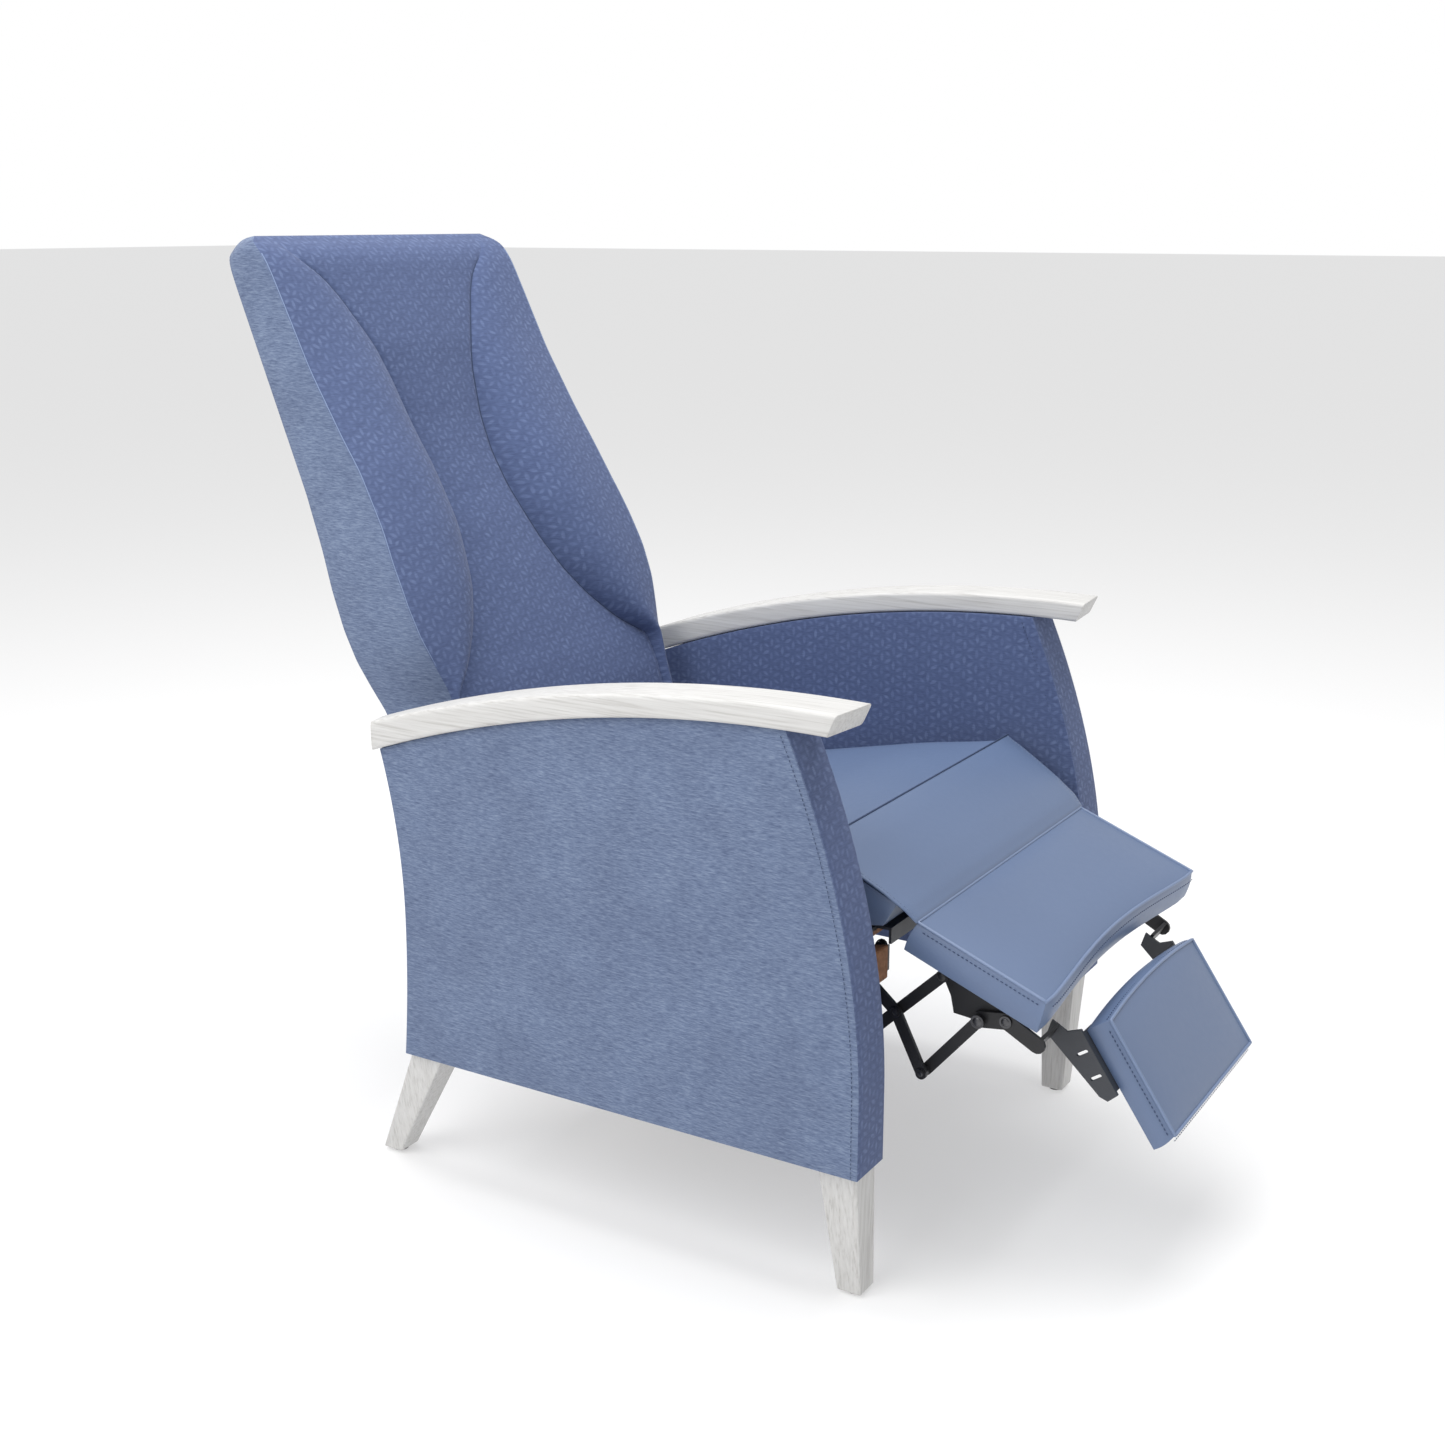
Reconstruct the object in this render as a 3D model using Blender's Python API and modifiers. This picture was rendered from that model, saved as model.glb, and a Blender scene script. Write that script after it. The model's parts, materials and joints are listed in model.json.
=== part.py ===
"""Patient recliner chair: two upholstered arm panels on tapered wooden legs, a seat that glides between them,
a reclining back, and a two-part leg rest carried by a scissor linkage on each side.

Metres, +Z up. The chair faces -Y. The origin is on the floor, under the middle of the chair's bounding box.
Every side view below is a list of (y, z) points, and every left-hand piece is the right-hand one mirrored in x.
"""

import math

import bmesh
import bpy
from mathutils import Matrix, Vector

# ---- driving dimensions ----------------------------------------------------------------------------------
GAP = 0.0003  # between pieces that touch
OVERLAP = 0.001  # of two shapes that are joined into one piece
MIDDLE_Y = 0.0119  # middle of the chair's depth, in the side views' own y; the origin is moved there at the end

# arms: an upholstered panel with a curved wooden cap on it
ARM_OUTER, ARM_INNER = 0.347, 0.287  # the panel's two faces, measured from the middle of the chair
ARM_WALL = 0.004
ARM_FRAME_RAIL = 0.055  # width of the posts and rails of the wooden frame inside the panel
ARM_FLOOR = 0.162  # underside of the panel
ARM_FRONT_Y, ARM_FRONT_STRAIGHT_Z, ARM_FRONT_BEND = -0.319, 0.24, 0.588
ARM_REAR_Y, ARM_REAR_WAIST_Z, ARM_REAR_FLARE, ARM_REAR_SKIRT = 0.272, 0.335, 0.68, 0.30
CAP_OUTER, CAP_INNER = 0.355, 0.289
CAP_APEX_Y = -0.24
CAP_TOP_Z, CAP_TOP_R = 0.655, 1.675
CAP_UNDER_Z, CAP_UNDER_R = 0.631, 1.51
CAP_FRONT_TOP_Y, CAP_FRONT_UNDER_Y, CAP_REAR_Y = -0.294, -0.283, 0.300
REAR_SLANT = 0.040  # how much further back an arm's rear end reaches on its inner side

# legs: (outer x, inner x, front y, rear y) at the top and at the foot
FRONT_LEG = ((0.330, 0.287, -0.310, -0.263), (0.305, 0.273, -0.305, -0.276))
REAR_LEG = ((0.335, 0.291, 0.234, 0.280), (0.308, 0.276, 0.329, 0.357))
GLIDE_HEIGHT, GLIDE_RADIUS = 0.004, 0.009

# seat: its frame lies in a plane that falls towards the back
SEAT_FALL = 0.2126  # drop per metre of depth
FRAME_FRONT_Y, FRAME_FRONT_Z = -0.306, 0.380  # a point on the frame's upper plane
RAIL_FRONT_Y, RAIL_REAR_Y = -0.290, 0.235
RAIL_OUTER, RAIL_INNER, RAIL_HEIGHT = 0.262, 0.226, 0.038
CROSS_RAIL_DEPTH = 0.030
FRONT_CROSS_Y, REAR_CROSS_Y = -0.200, 0.190
FRONT_ANGLE = ((-0.2905, 0.375), (-0.272, 0.393), 0.003)  # low front, high rear, and wall of the steel angle
DECK_FRONT_Y, DECK_REAR_Y, DECK_HALF, DECK_THICK = -0.250, 0.205, 0.255, 0.005
CUSHION_LIFT = 0.006  # the cushion's underside above the frame's upper plane
SEAT_SEAM = (-0.214, 0.482)  # front seam of the cushion's top
SEAT_REAR_Y = 0.225
SEAT_HALF_REAR, SEAT_HALF_SEAM, SEAT_HALF_NOSE = 0.268, 0.262, 0.237

# base: slide tracks and cross members
TRACK_SLOPE = math.radians(8.0)
TRACK_Z = 0.296  # height of the track's centre line at y = 0
TRACK_HALF_LENGTH, TRACK_HALF_HEIGHT, TRACK_WALL = 0.130, 0.015, 0.0025
TRACK_INNER, TRACK_OUTER = 0.270, 0.2865
SLIDER_HALF_LENGTH, SLIDER_HALF_HEIGHT, SLIDER_OUTER = 0.055, 0.0120, 0.2835
REAR_RAIL = ((0.190, 0.165), (0.215, 0.215))  # lowest and highest (y, z) of the rear cross rail
TUBE_Y, TUBE_Z, TUBE_RADIUS = -0.020, 0.252, 0.0125

# leg rest: a board and a cushion whose upper face falls away from the seam with the seat
LEG_SEAM = (-0.327, 0.4115)
LEG_HINGE = (-0.327, 0.406)
LEG_FALL = math.radians(21.5)
LEG_REAR, LEG_LENGTH, LEG_THICK, LEG_HALF = 0.001, 0.1605, 0.036, 0.237
LEG_SCOOP, LEG_SCOOP_HALF = 0.0140, 0.21  # the front edge is hollowed between its two corners
BOARD_THICK, BOARD_MARGIN = 0.012, 0.012

# foot pad: hangs below the leg rest's front edge
PAD_SEAM = (-0.506, 0.307)
PAD_FALL = math.radians(55.8)
PAD_LENGTH, PAD_THICK, PAD_HALF, PAD_CROWN = 0.144, 0.030, 0.140, 0.008

# fixed plates of the seat frame, as (y, depth below the frame's upper plane)
LINKAGE_PLATE = ((-0.289, 0.030), (-0.170, 0.030), (-0.170, 0.0015), (-0.289, 0.0015))
HINGE_PLATE_FOOT = ((0.180, 0.034), (0.240, 0.034), (0.262, 0.0))
HINGE_PLATE_NECK = ((0.2285, -0.004), (0.180, 0.004))
HINGE_PLATE_HEAD = ((0.013, -0.004), (0.009, 0.010), (-0.004, 0.013), (-0.014, 0.004))  # round the back's pivot
PACKER = (0.186, 0.230, -0.030, -0.008)  # front y, rear y, and heights of the block behind the hinge plate

# brackets under the leg rest and the foot pad, measured in the rest's own side view: (along, below)
BRACKET_ROOT = ((0.052, 0.012), (0.075, 0.0), (0.142, 0.0))
BRACKET_HOLLOW = ((-0.395, 0.297), (-0.353, 0.301), (-0.349, 0.320), (-0.337, 0.345))
FLANGE_THICK, FLANGE_WIDTH, PAD_FLANGE_WIDTH = 0.003, 0.022, 0.026
LEG_FLANGE, PAD_FLANGE = (0.080, 0.138), (0.0, 0.070)
SLOT_PLATE_NECK = ((-0.441, 0.281), (-0.446, 0.297))
SLOT_PLATE_EDGE = ((-0.008, 0.016), (-0.004, 0.0), (0.074, 0.0), (0.076, 0.014), (0.068, 0.020))

# linkage: pivots in the side view, and the lane across the chair that each plate runs in
LIFT_PIVOT = (-0.277, 0.370)
SCISSOR_TOP = (-0.346, 0.347)
SCISSOR_CROSS = (-0.296, 0.298)
SCISSOR_TAIL = (-0.262, 0.264)
LIFT_ELBOW = (-0.262, 0.327)
LIFT_END = (-0.328, 0.234)
PAD_LINK_TOP = (-0.386, 0.303)
PAD_PIVOT = (-0.415, 0.307)
LINK_HALF, LUG_RADIUS = 0.0065, 0.0090
STUD_RADIUS, HOLE_RADIUS = 0.0050, 0.0054
PLATE_LANE = (0.2215, 0.2257)
LIFT_LANE = (0.2145, 0.2185)
SCISSOR_LANE = (0.2085, 0.2125)
PAD_LINK_LANE = (0.2025, 0.2065)
LEVER_LANE = (0.1965, 0.2005)
BRACKET_LANE = (0.1905, 0.1945)
SLOT_PLATE_LANE = (0.1460, 0.1495)
KNUCKLE = (-0.450, 0.288)  # where the foot lever's bar bends in to its slotted plate
BAR_THICK = 0.004
SLOT_PLACES, SLOT_SPAN, SLOT_RADIUS = (0.019, 0.048), (0.007, 0.0175), 0.0019
RIVET_RADIUS, RIVET_HEIGHT, RIVET_BACK = 0.0052, 0.0019, 0.0012

# back: measured along its rear face (s, upwards) and out from it (q, forwards)
BACK_FOOT = (0.393, 0.536)
BACK_LEAN = math.radians(21.5)
BACK_LOW, BACK_HIGH = -0.160, 0.590
BACK_HINGE = (0.300, 0.360)
BACK_FRONT = ((-0.160, 0.0905), (-0.090, 0.099), (-0.006, 0.107), (0.060, 0.109), (0.123, 0.1085),
              (0.198, 0.103), (0.276, 0.0927), (0.323, 0.083), (0.412, 0.069), (0.500, 0.0626),
              (0.5585, 0.0555), (0.586, 0.040))
BACK_SIDE = ((-0.160, 0.224), (0.000, 0.226), (0.035, 0.237), (0.070, 0.2465), (0.110, 0.250), (0.160, 0.2475),
             (0.210, 0.241), (0.280, 0.236), (0.555, 0.235), (0.576, 0.228), (0.585, 0.218), (BACK_HIGH, 0.203))
BACK_PANEL_REAR, BACK_PANEL_FRONT = -0.003, 0.0037
BACK_BOARD_LANE = (0.0043, 0.0240)
BACK_BOARD_HALF, BACK_BOARD_LOW, BACK_BOARD_HIGH = 0.2045, -0.145, 0.530
BACK_POCKET_HALF, BACK_POCKET_HIGH, BACK_POCKET_DEPTH = 0.2125, 0.534, 0.0245
STRAP_LANE = (0.2065, 0.2105)
HINGE_PLATE_LANE = (0.2125, 0.2165)
STRAP_LINE, STRAP_HALF = ((-0.150, 0.013), (0.060, 0.013)), 0.0085  # (s, q) points above the hinge
BOLT_LANE, BOLT_HEAD_LANE, BOLT_HEAD_RADIUS = (0.2035, 0.2195), (0.2015, 0.2060), 0.0080

# ---- finishes --------------------------------------------------------------------------------------------
FINISHES = {
    "heather_fabric": ((0.16, 0.26, 0.48, 1), 0.95, 0.0),
    "pattern_fabric": ((0.13, 0.20, 0.44, 1), 0.95, 0.0),
    "vinyl": ((0.17, 0.26, 0.46, 1), 0.50, 0.0),
    "whitewashed_wood": ((0.72, 0.71, 0.69, 1), 0.60, 0.0),
    "beech": ((0.34, 0.17, 0.08, 1), 0.70, 0.0),
    "plywood": ((0.45, 0.33, 0.20, 1), 0.80, 0.0),
    "black_steel": ((0.015, 0.015, 0.017, 1), 0.45, 0.9),
    "grey_steel": ((0.07, 0.075, 0.08, 1), 0.50, 0.9),
    "nylon": ((0.05, 0.05, 0.05, 1), 0.60, 0.0),
    "webbing": ((0.03, 0.03, 0.035, 1), 0.90, 0.0),
}

# ---- frames in which flat outlines are drawn -------------------------------------------------------------


def frame_of(across, up, origin=(0, 0, 0)):
    """A frame whose first two axes carry an outline and whose third carries its thickness."""
    across, up = Vector(across), Vector(up)
    rows = Matrix((across, up, across.cross(up))).transposed().to_4x4()
    return Matrix.Translation(origin) @ rows


SIDE = frame_of((0, 1, 0), (0, 0, 1))  # outlines in (y, z), thickness along x
PLAN = frame_of((1, 0, 0), (0, 1, 0))  # outlines in (x, y), thickness along z
LEG_PLAN = frame_of((1, 0, 0), (0, -math.cos(LEG_FALL), -math.sin(LEG_FALL)), (0, *LEG_SEAM))
PAD_PLAN = frame_of((1, 0, 0), (0, -math.cos(PAD_FALL), -math.sin(PAD_FALL)), (0, *PAD_SEAM))
BACK_PLAN = frame_of((1, 0, 0), (0, math.sin(BACK_LEAN), math.cos(BACK_LEAN)), (0, *BACK_FOOT))


def leg_point(along, below):
    """(y, z) of a point of the leg rest: along its upper face from the seam, and below that face."""
    point = LEG_PLAN @ Vector((0, along, below))
    return point.y, point.z


def pad_point(along, behind):
    point = PAD_PLAN @ Vector((0, along, behind))
    return point.y, point.z


def back_point(along, forward):
    point = BACK_PLAN @ Vector((0, along, forward))
    return point.y, point.z


def frame_top(y):
    """Height of the seat frame's upper plane."""
    return FRAME_FRONT_Z - SEAT_FALL * (y - FRAME_FRONT_Y)


def lane(side, low_high):
    """The x range of a lane on the right (side = -1) or left (side = 1) of the chair."""
    low, high = low_high
    return (low, high) if side > 0 else (-high, -low)


# ---- modelling helpers -----------------------------------------------------------------------------------


def start_scene():
    for item in list(bpy.data.objects):
        bpy.data.objects.remove(item, do_unlink=True)
    parts = bpy.data.collections.new("patient_recliner_chair")
    cutters = bpy.data.collections.new("cutters")
    cutters.hide_render = True
    for made in (parts, cutters):
        bpy.context.scene.collection.children.link(made)
    return parts, cutters


PARTS, CUTTERS = start_scene()


def finish(name):
    """The Principled material of one finish, made the first time it is asked for."""
    found = bpy.data.materials.get(name)
    if found:
        return found
    colour, roughness, metallic = FINISHES[name]
    made = bpy.data.materials.new(name)
    made.use_nodes = True
    shader = made.node_tree.nodes["Principled BSDF"]
    shader.inputs["Base Color"].default_value = colour
    shader.inputs["Roughness"].default_value = roughness
    shader.inputs["Metallic"].default_value = metallic
    return made


def circle(centre, radius, count=16):
    turns = (2 * math.pi * step / count for step in range(count))
    return [(centre[0] + radius * math.cos(a), centre[1] + radius * math.sin(a)) for a in turns]


def slab(name, outline, frame, low, high, holes=()):
    """A flat outline given thickness from low to high along the frame's third axis, as a mesh object."""
    curve = bpy.data.curves.new(name, "CURVE")
    curve.dimensions = "2D"
    curve.fill_mode = "BOTH"
    curve.extrude = (high - low) / 2
    for ring in (outline, *holes):
        spline = curve.splines.new("POLY")
        spline.points.add(len(ring) - 1)
        for point, (u, v) in zip(spline.points, ring):
            point.co = (u, v, 0, 1)
        spline.use_cyclic_u = True
    drawn = bpy.data.objects.new(name + "_outline", curve)
    CUTTERS.objects.link(drawn)
    drawn.matrix_world = frame @ Matrix.Translation((0, 0, (low + high) / 2))
    bpy.context.view_layer.update()
    graph = bpy.context.evaluated_depsgraph_get()
    mesh = bpy.data.meshes.new_from_object(drawn.evaluated_get(graph))
    mesh.name = name
    made = bpy.data.objects.new(name, mesh)
    made.matrix_world = drawn.matrix_world.copy()
    bpy.data.objects.remove(drawn, do_unlink=True)
    weld(mesh)
    CUTTERS.objects.link(made)
    return made


def weld(mesh):
    editing = bmesh.new()
    editing.from_mesh(mesh)
    bmesh.ops.remove_doubles(editing, verts=editing.verts, dist=0.00005)
    bmesh.ops.recalc_face_normals(editing, faces=editing.faces)
    editing.to_mesh(mesh)
    editing.free()


def box(name, low, high):
    mesh = bpy.data.meshes.new(name)
    editing = bmesh.new()
    bmesh.ops.create_cube(editing, size=1)
    size = [b - a for a, b in zip(low, high)]
    middle = [(a + b) / 2 for a, b in zip(low, high)]
    bmesh.ops.scale(editing, vec=size, verts=editing.verts)
    bmesh.ops.translate(editing, vec=middle, verts=editing.verts)
    editing.to_mesh(mesh)
    editing.free()
    made = bpy.data.objects.new(name, mesh)
    CUTTERS.objects.link(made)
    return made


def rod(name, centre, radius, low, high, count=20):
    """A round bar along x between two x values."""
    return slab(name, circle(centre, radius, count), SIDE, low, high)


def combine(target, other, operation):
    """Cuts, joins or intersects target with other, and applies the result."""
    other.hide_render = True
    other.display_type = "WIRE"
    modifier = target.modifiers.new(operation.title(), "BOOLEAN")
    modifier.operation = operation
    modifier.solver = "EXACT"
    modifier.object = other
    bpy.context.view_layer.update()
    graph = bpy.context.evaluated_depsgraph_get()
    mesh = bpy.data.meshes.new_from_object(target.evaluated_get(graph))
    target.modifiers.clear()
    target.data = mesh
    bpy.data.objects.remove(other, do_unlink=True)
    return target


def round_edges(target, width, segments=2, angle=35):
    bevel = target.modifiers.new("Rounded edges", "BEVEL")
    bevel.width = width
    bevel.segments = segments
    bevel.limit_method = "ANGLE"
    bevel.angle_limit = math.radians(angle)
    return target


def body(name, pivot=(0.0, 0.0)):
    """An empty on a body's joint axis, which runs along x through the (y, z) point given."""
    made = bpy.data.objects.new(name + "_axis", None)
    made.location = (0, *pivot)
    PARTS.objects.link(made)
    bpy.context.view_layer.update()
    return made


def keep(made, finish_name, parent, name=None):
    """Moves a finished piece into the chair: its material, its shading and the body that it rides on."""
    if name:
        made.name = name
    CUTTERS.objects.unlink(made)
    PARTS.objects.link(made)
    made.data.materials.clear()
    made.data.materials.append(finish(finish_name))
    made.data.shade_smooth()
    made.data.set_sharp_from_angle(angle=math.radians(35))
    made.parent = parent
    made.matrix_parent_inverse = parent.matrix_world.inverted()
    return made


def strip(points, half_width, cap_steps=6):
    """Outline of a bar of constant width along a line of points, with round ends and mitred bends."""
    rings = ([], [])
    for index, point in enumerate(points):
        here = Vector(point)
        before = (here - Vector(points[index - 1])).normalized() if index else None
        after = (Vector(points[index + 1]) - here).normalized() if index + 1 < len(points) else None
        along = ((before or after) + (after or before)).normalized()
        side = Vector((-along.y, along.x)) * (half_width / along.dot(after or before))
        if before and after:
            rings[0].append(here + side)
            rings[1].append(here - side)
            continue
        start = math.atan2(side.y, side.x)
        for step in range(cap_steps + 1):
            turn = start + math.pi * step / cap_steps if before is None else start - math.pi * step / cap_steps
            spot = here + half_width * Vector((math.cos(turn), math.sin(turn)))
            (rings[1] if before is None else rings[0]).append(spot)
    return [tuple(p) for p in rings[0] + rings[1][::-1]]


def at(points, where):
    """Straight-line interpolation in a list of (position, value) pairs."""
    for (a, low), (b, high) in zip(points, points[1:]):
        if where <= b:
            return low + (high - low) * (where - a) / (b - a)
    return points[-1][1]


SIDES = (("right", -1), ("left", 1))

# ---- base: arms, legs, cross members and tracks ----------------------------------------------------------


def arm_front(z):
    return ARM_FRONT_Y + ARM_FRONT_BEND * max(0.0, z - ARM_FRONT_STRAIGHT_Z) ** 2


def arm_rear(z):
    bend = ARM_REAR_FLARE if z > ARM_REAR_WAIST_Z else ARM_REAR_SKIRT
    return ARM_REAR_Y + bend * (z - ARM_REAR_WAIST_Z) ** 2


def cap_under(y):
    return CAP_UNDER_Z - (y - CAP_APEX_Y) ** 2 / (2 * CAP_UNDER_R)


def cap_top(y):
    return CAP_TOP_Z - (y - CAP_APEX_Y) ** 2 / (2 * CAP_TOP_R)


def spread(low, high, count):
    return [low + (high - low) * step / (count - 1) for step in range(count)]


def arm_corner(edge, inset, y, under_cap):
    """Where one end of the panel, moved in by an inset, meets the underside of the cap."""
    for _ in range(5):
        z = cap_under(y) - under_cap
        y = edge(z) + inset
    return y, z


def arm_outline(inset, below=0.0):
    """Side view of the arm panel drawn smaller all round by an inset, and reaching below its floor."""
    under_cap = 2 * GAP + inset
    front_y, front_z = arm_corner(arm_front, inset, ARM_FRONT_Y, under_cap)
    rear_y, rear_z = arm_corner(arm_rear, -inset, ARM_REAR_Y, under_cap)
    front = [(arm_front(z) + inset, z) for z in spread(ARM_FLOOR, front_z, 9)]
    top = [(y, cap_under(y) - under_cap) for y in spread(front_y, rear_y, 12)[1:-1]]
    rear = [(arm_rear(z) - inset, z) for z in spread(rear_z, ARM_FLOOR, 8)]
    skirt = [(y, ARM_FLOOR - below) for y in (rear[-1][0], front[0][0])] if below else []
    return front + top + rear + skirt


def slant_rear(piece, inner, edge, line):
    """Draws the rear end of an arm's piece back on its inner side, along the curve of the cap (line)."""
    for vertex in piece.data.vertices:
        spot = piece.matrix_world @ vertex.co
        if abs(spot.x) < inner + GAP and spot.y > edge(spot.z) - GAP:
            follows = abs(spot.z - line(spot.y)) < 4 * GAP
            drop = line(spot.y) - line(spot.y + REAR_SLANT) if follows else 0.0
            vertex.co = piece.matrix_world.inverted() @ (spot + Vector((0, REAR_SLANT, -drop)))
    return piece


def make_arm(word, side, base):
    outer = slab("arm_cover_" + word, arm_outline(0), SIDE, *lane(side, (ARM_INNER, ARM_OUTER)))
    slant_rear(outer, ARM_INNER, arm_rear, cap_under)
    cavity = (ARM_INNER + ARM_WALL, ARM_OUTER - ARM_WALL)
    inner = slab("cavity", arm_outline(ARM_WALL, 0.05), SIDE, *lane(side, cavity))
    keep(combine(outer, inner, "DIFFERENCE"), "heather_fabric", base)
    core = (cavity[0] + GAP, cavity[1] - GAP)
    window = arm_outline(ARM_FRAME_RAIL)
    window = [(y, max(z, ARM_FLOOR + ARM_FRAME_RAIL)) for y, z in window]
    frame_piece = slab("arm_frame_" + word, arm_outline(ARM_WALL + GAP), SIDE, *lane(side, core), holes=[window])
    keep(frame_piece, "plywood", base)
    tops = [(y, cap_top(y)) for y in spread(CAP_FRONT_TOP_Y, CAP_REAR_Y, 14)]
    unders = [(y, cap_under(y)) for y in spread(CAP_REAR_Y, CAP_FRONT_UNDER_Y, 14)]
    cap = slab("arm_cap_" + word, tops + unders, SIDE, *lane(side, (CAP_INNER, CAP_OUTER)))
    slant_rear(cap, CAP_INNER, lambda z: CAP_REAR_Y, cap_top)
    keep(round_edges(cap, 0.003), "whitewashed_wood", base)


def make_leg(name, side, top, foot, base):
    """A leg that tapers from its top to its foot, and the glide under it."""
    leg = box(name, (0, 0, GLIDE_HEIGHT + GAP), (1, 1, ARM_FLOOR - GAP))
    for vertex in leg.data.vertices:
        outer, inner, front, rear = top if vertex.co.z > ARM_FLOOR / 2 else foot
        vertex.co.x = side * (outer if vertex.co.x > 0.5 else inner)
        vertex.co.y = rear if vertex.co.y > 0.5 else front
    weld(leg.data)
    keep(round_edges(leg, 0.002, 2), "whitewashed_wood", base)
    middle = (side * (foot[0] + foot[1]) / 2, (foot[2] + foot[3]) / 2)
    keep(slab("glide_" + name[4:], circle(middle, GLIDE_RADIUS), PLAN, 0, GLIDE_HEIGHT), "nylon", base)


def make_base():
    base = body("base")
    for word, side in SIDES:
        make_arm(word, side, base)
        make_leg("leg_front_" + word, side, *FRONT_LEG, base)
        make_leg("leg_rear_" + word, side, *REAR_LEG, base)
        make_track(word, side, base)
    reach = ARM_INNER - GAP
    (y_low, z_low), (y_high, z_high) = REAR_RAIL
    rail = box("rear_cross_rail", (-reach, y_low, z_low), (reach, y_high, z_high))
    keep(round_edges(rail, 0.002), "beech", base)
    keep(rod("cross_tube", (TUBE_Y, TUBE_Z), TUBE_RADIUS, -reach, reach), "black_steel", base)


def along_track(distance, above):
    """(y, z) of a point of the track, measured backwards along it and square to it."""
    c, s = math.cos(TRACK_SLOPE), math.sin(TRACK_SLOPE)
    return distance * c + above * s, TRACK_Z - distance * s + above * c


def make_track(word, side, base):
    """A channel on the arm's inner face, open towards the seat."""
    def oblong(length, height):
        corners = ((-length, -height), (length, -height), (length, height), (-length, height))
        return [along_track(*corner) for corner in corners]

    bar = slab("track_" + word, oblong(TRACK_HALF_LENGTH, TRACK_HALF_HEIGHT), SIDE,
               *lane(side, (TRACK_INNER, TRACK_OUTER)))
    groove = slab("groove", oblong(TRACK_HALF_LENGTH + 0.01, TRACK_HALF_HEIGHT - TRACK_WALL), SIDE,
                  *lane(side, (TRACK_INNER - 0.01, TRACK_OUTER - TRACK_WALL)))
    keep(combine(bar, groove, "DIFFERENCE"), "black_steel", base)


# ---- seat ------------------------------------------------------------------------------------------------


def seat_band(front_y, rear_y, low, high):
    """Side view of a board in the seat frame's plane, from low to high above that plane."""
    return [(front_y, frame_top(front_y) + low), (rear_y, frame_top(rear_y) + low),
            (rear_y, frame_top(rear_y) + high), (front_y, frame_top(front_y) + high)]


def seat_cushion_outline():
    """Side view of the cushion: level top, sloping nose down to the leg rest's seam, and a thin lip there."""
    seam_y, seam_z = SEAT_SEAM
    rear_top = seam_z - SEAT_FALL * (SEAT_REAR_Y - seam_y)
    return [(seam_y, seam_z), (-0.250, 0.4630), (-0.290, 0.4365), (-0.3230, 0.4135), (-0.3200, 0.4085),
            (-0.2900, 0.4040), (-0.2545, 0.3990), (DECK_FRONT_Y, frame_top(DECK_FRONT_Y) + CUSHION_LIFT),
            (SEAT_REAR_Y, frame_top(SEAT_REAR_Y) + CUSHION_LIFT), (SEAT_REAR_Y, rear_top)]


def make_seat():
    seat = body("seat", (0.0, TRACK_Z))
    for word, side in SIDES:
        rail = slab("seat_side_rail_" + word, seat_band(RAIL_FRONT_Y, RAIL_REAR_Y, -RAIL_HEIGHT, 0), SIDE,
                    *lane(side, (RAIL_INNER, RAIL_OUTER)))
        keep(round_edges(rail, 0.0015, 1), "beech", seat)
        make_slider(word, side, seat)
        make_linkage_plate(word, side, seat)
        make_hinge_plate(word, side, seat)
    for name, front, plate in (("seat_front_rail", FRONT_CROSS_Y, PLATE_LANE),
                               ("seat_rear_rail", REAR_CROSS_Y, HINGE_PLATE_LANE)):
        outline = seat_band(front, front + CROSS_RAIL_DEPTH, -RAIL_HEIGHT, 0)
        keep(slab(name, outline, SIDE, GAP - plate[0], plate[0] - GAP), "beech", seat)
    (front, low), (rear, high), wall = FRONT_ANGLE
    outline = [(front, low), (front + wall, low), (front + wall, high - wall), (rear, high - wall), (rear, high),
               (front, high)]
    keep(slab("front_cross_angle", outline, SIDE, GAP - PLATE_LANE[0], PLATE_LANE[0] - GAP), "grey_steel", seat)
    deck = slab("seat_deck", seat_band(DECK_FRONT_Y, DECK_REAR_Y, GAP, DECK_THICK), SIDE, -DECK_HALF, DECK_HALF)
    keep(deck, "webbing", seat)
    make_seat_cushion(seat)


def make_slider(word, side, seat):
    corners = ((-1, -1), (1, -1), (1, 1), (-1, 1))
    outline = [along_track(a * SLIDER_HALF_LENGTH, b * SLIDER_HALF_HEIGHT) for a, b in corners]
    block = slab("slider_" + word, outline, SIDE, *lane(side, (RAIL_OUTER + GAP, SLIDER_OUTER)))
    keep(round_edges(block, 0.0015, 1), "nylon", seat)


def make_linkage_plate(word, side, seat):
    """Steel plate on the side rail's inner face, with the stud that the lift link turns on."""
    outline = [(y, frame_top(y) - below) for y, below in LINKAGE_PLATE]
    low, high = PLATE_LANE
    plate = slab("linkage_plate_" + word, outline, SIDE, *lane(side, (low, high)))
    stud = rod("stud", LIFT_PIVOT, STUD_RADIUS, *lane(side, (LIFT_LANE[0], low + OVERLAP)))
    keep(combine(plate, stud, "UNION"), "black_steel", seat)


def make_hinge_plate(word, side, seat):
    """Plate behind the seat frame that carries the back's pivot, with a packer out to the side rail."""
    y, z = BACK_HINGE
    outline = [(a, frame_top(a) - below) for a, below in HINGE_PLATE_FOOT]
    outline += [(y + a, z + b) for a, b in HINGE_PLATE_HEAD]
    outline += [(a, frame_top(a) - below) for a, below in HINGE_PLATE_NECK]
    low, high = HINGE_PLATE_LANE
    plate = slab("hinge_plate_" + word, outline, SIDE, *lane(side, (low, high)),
                 holes=[circle(BACK_HINGE, HOLE_RADIUS)])
    packer = slab("packer", seat_band(*PACKER), SIDE,
                  *lane(side, (high - OVERLAP, RAIL_INNER - GAP)))
    keep(combine(plate, packer, "UNION"), "black_steel", seat)


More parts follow.
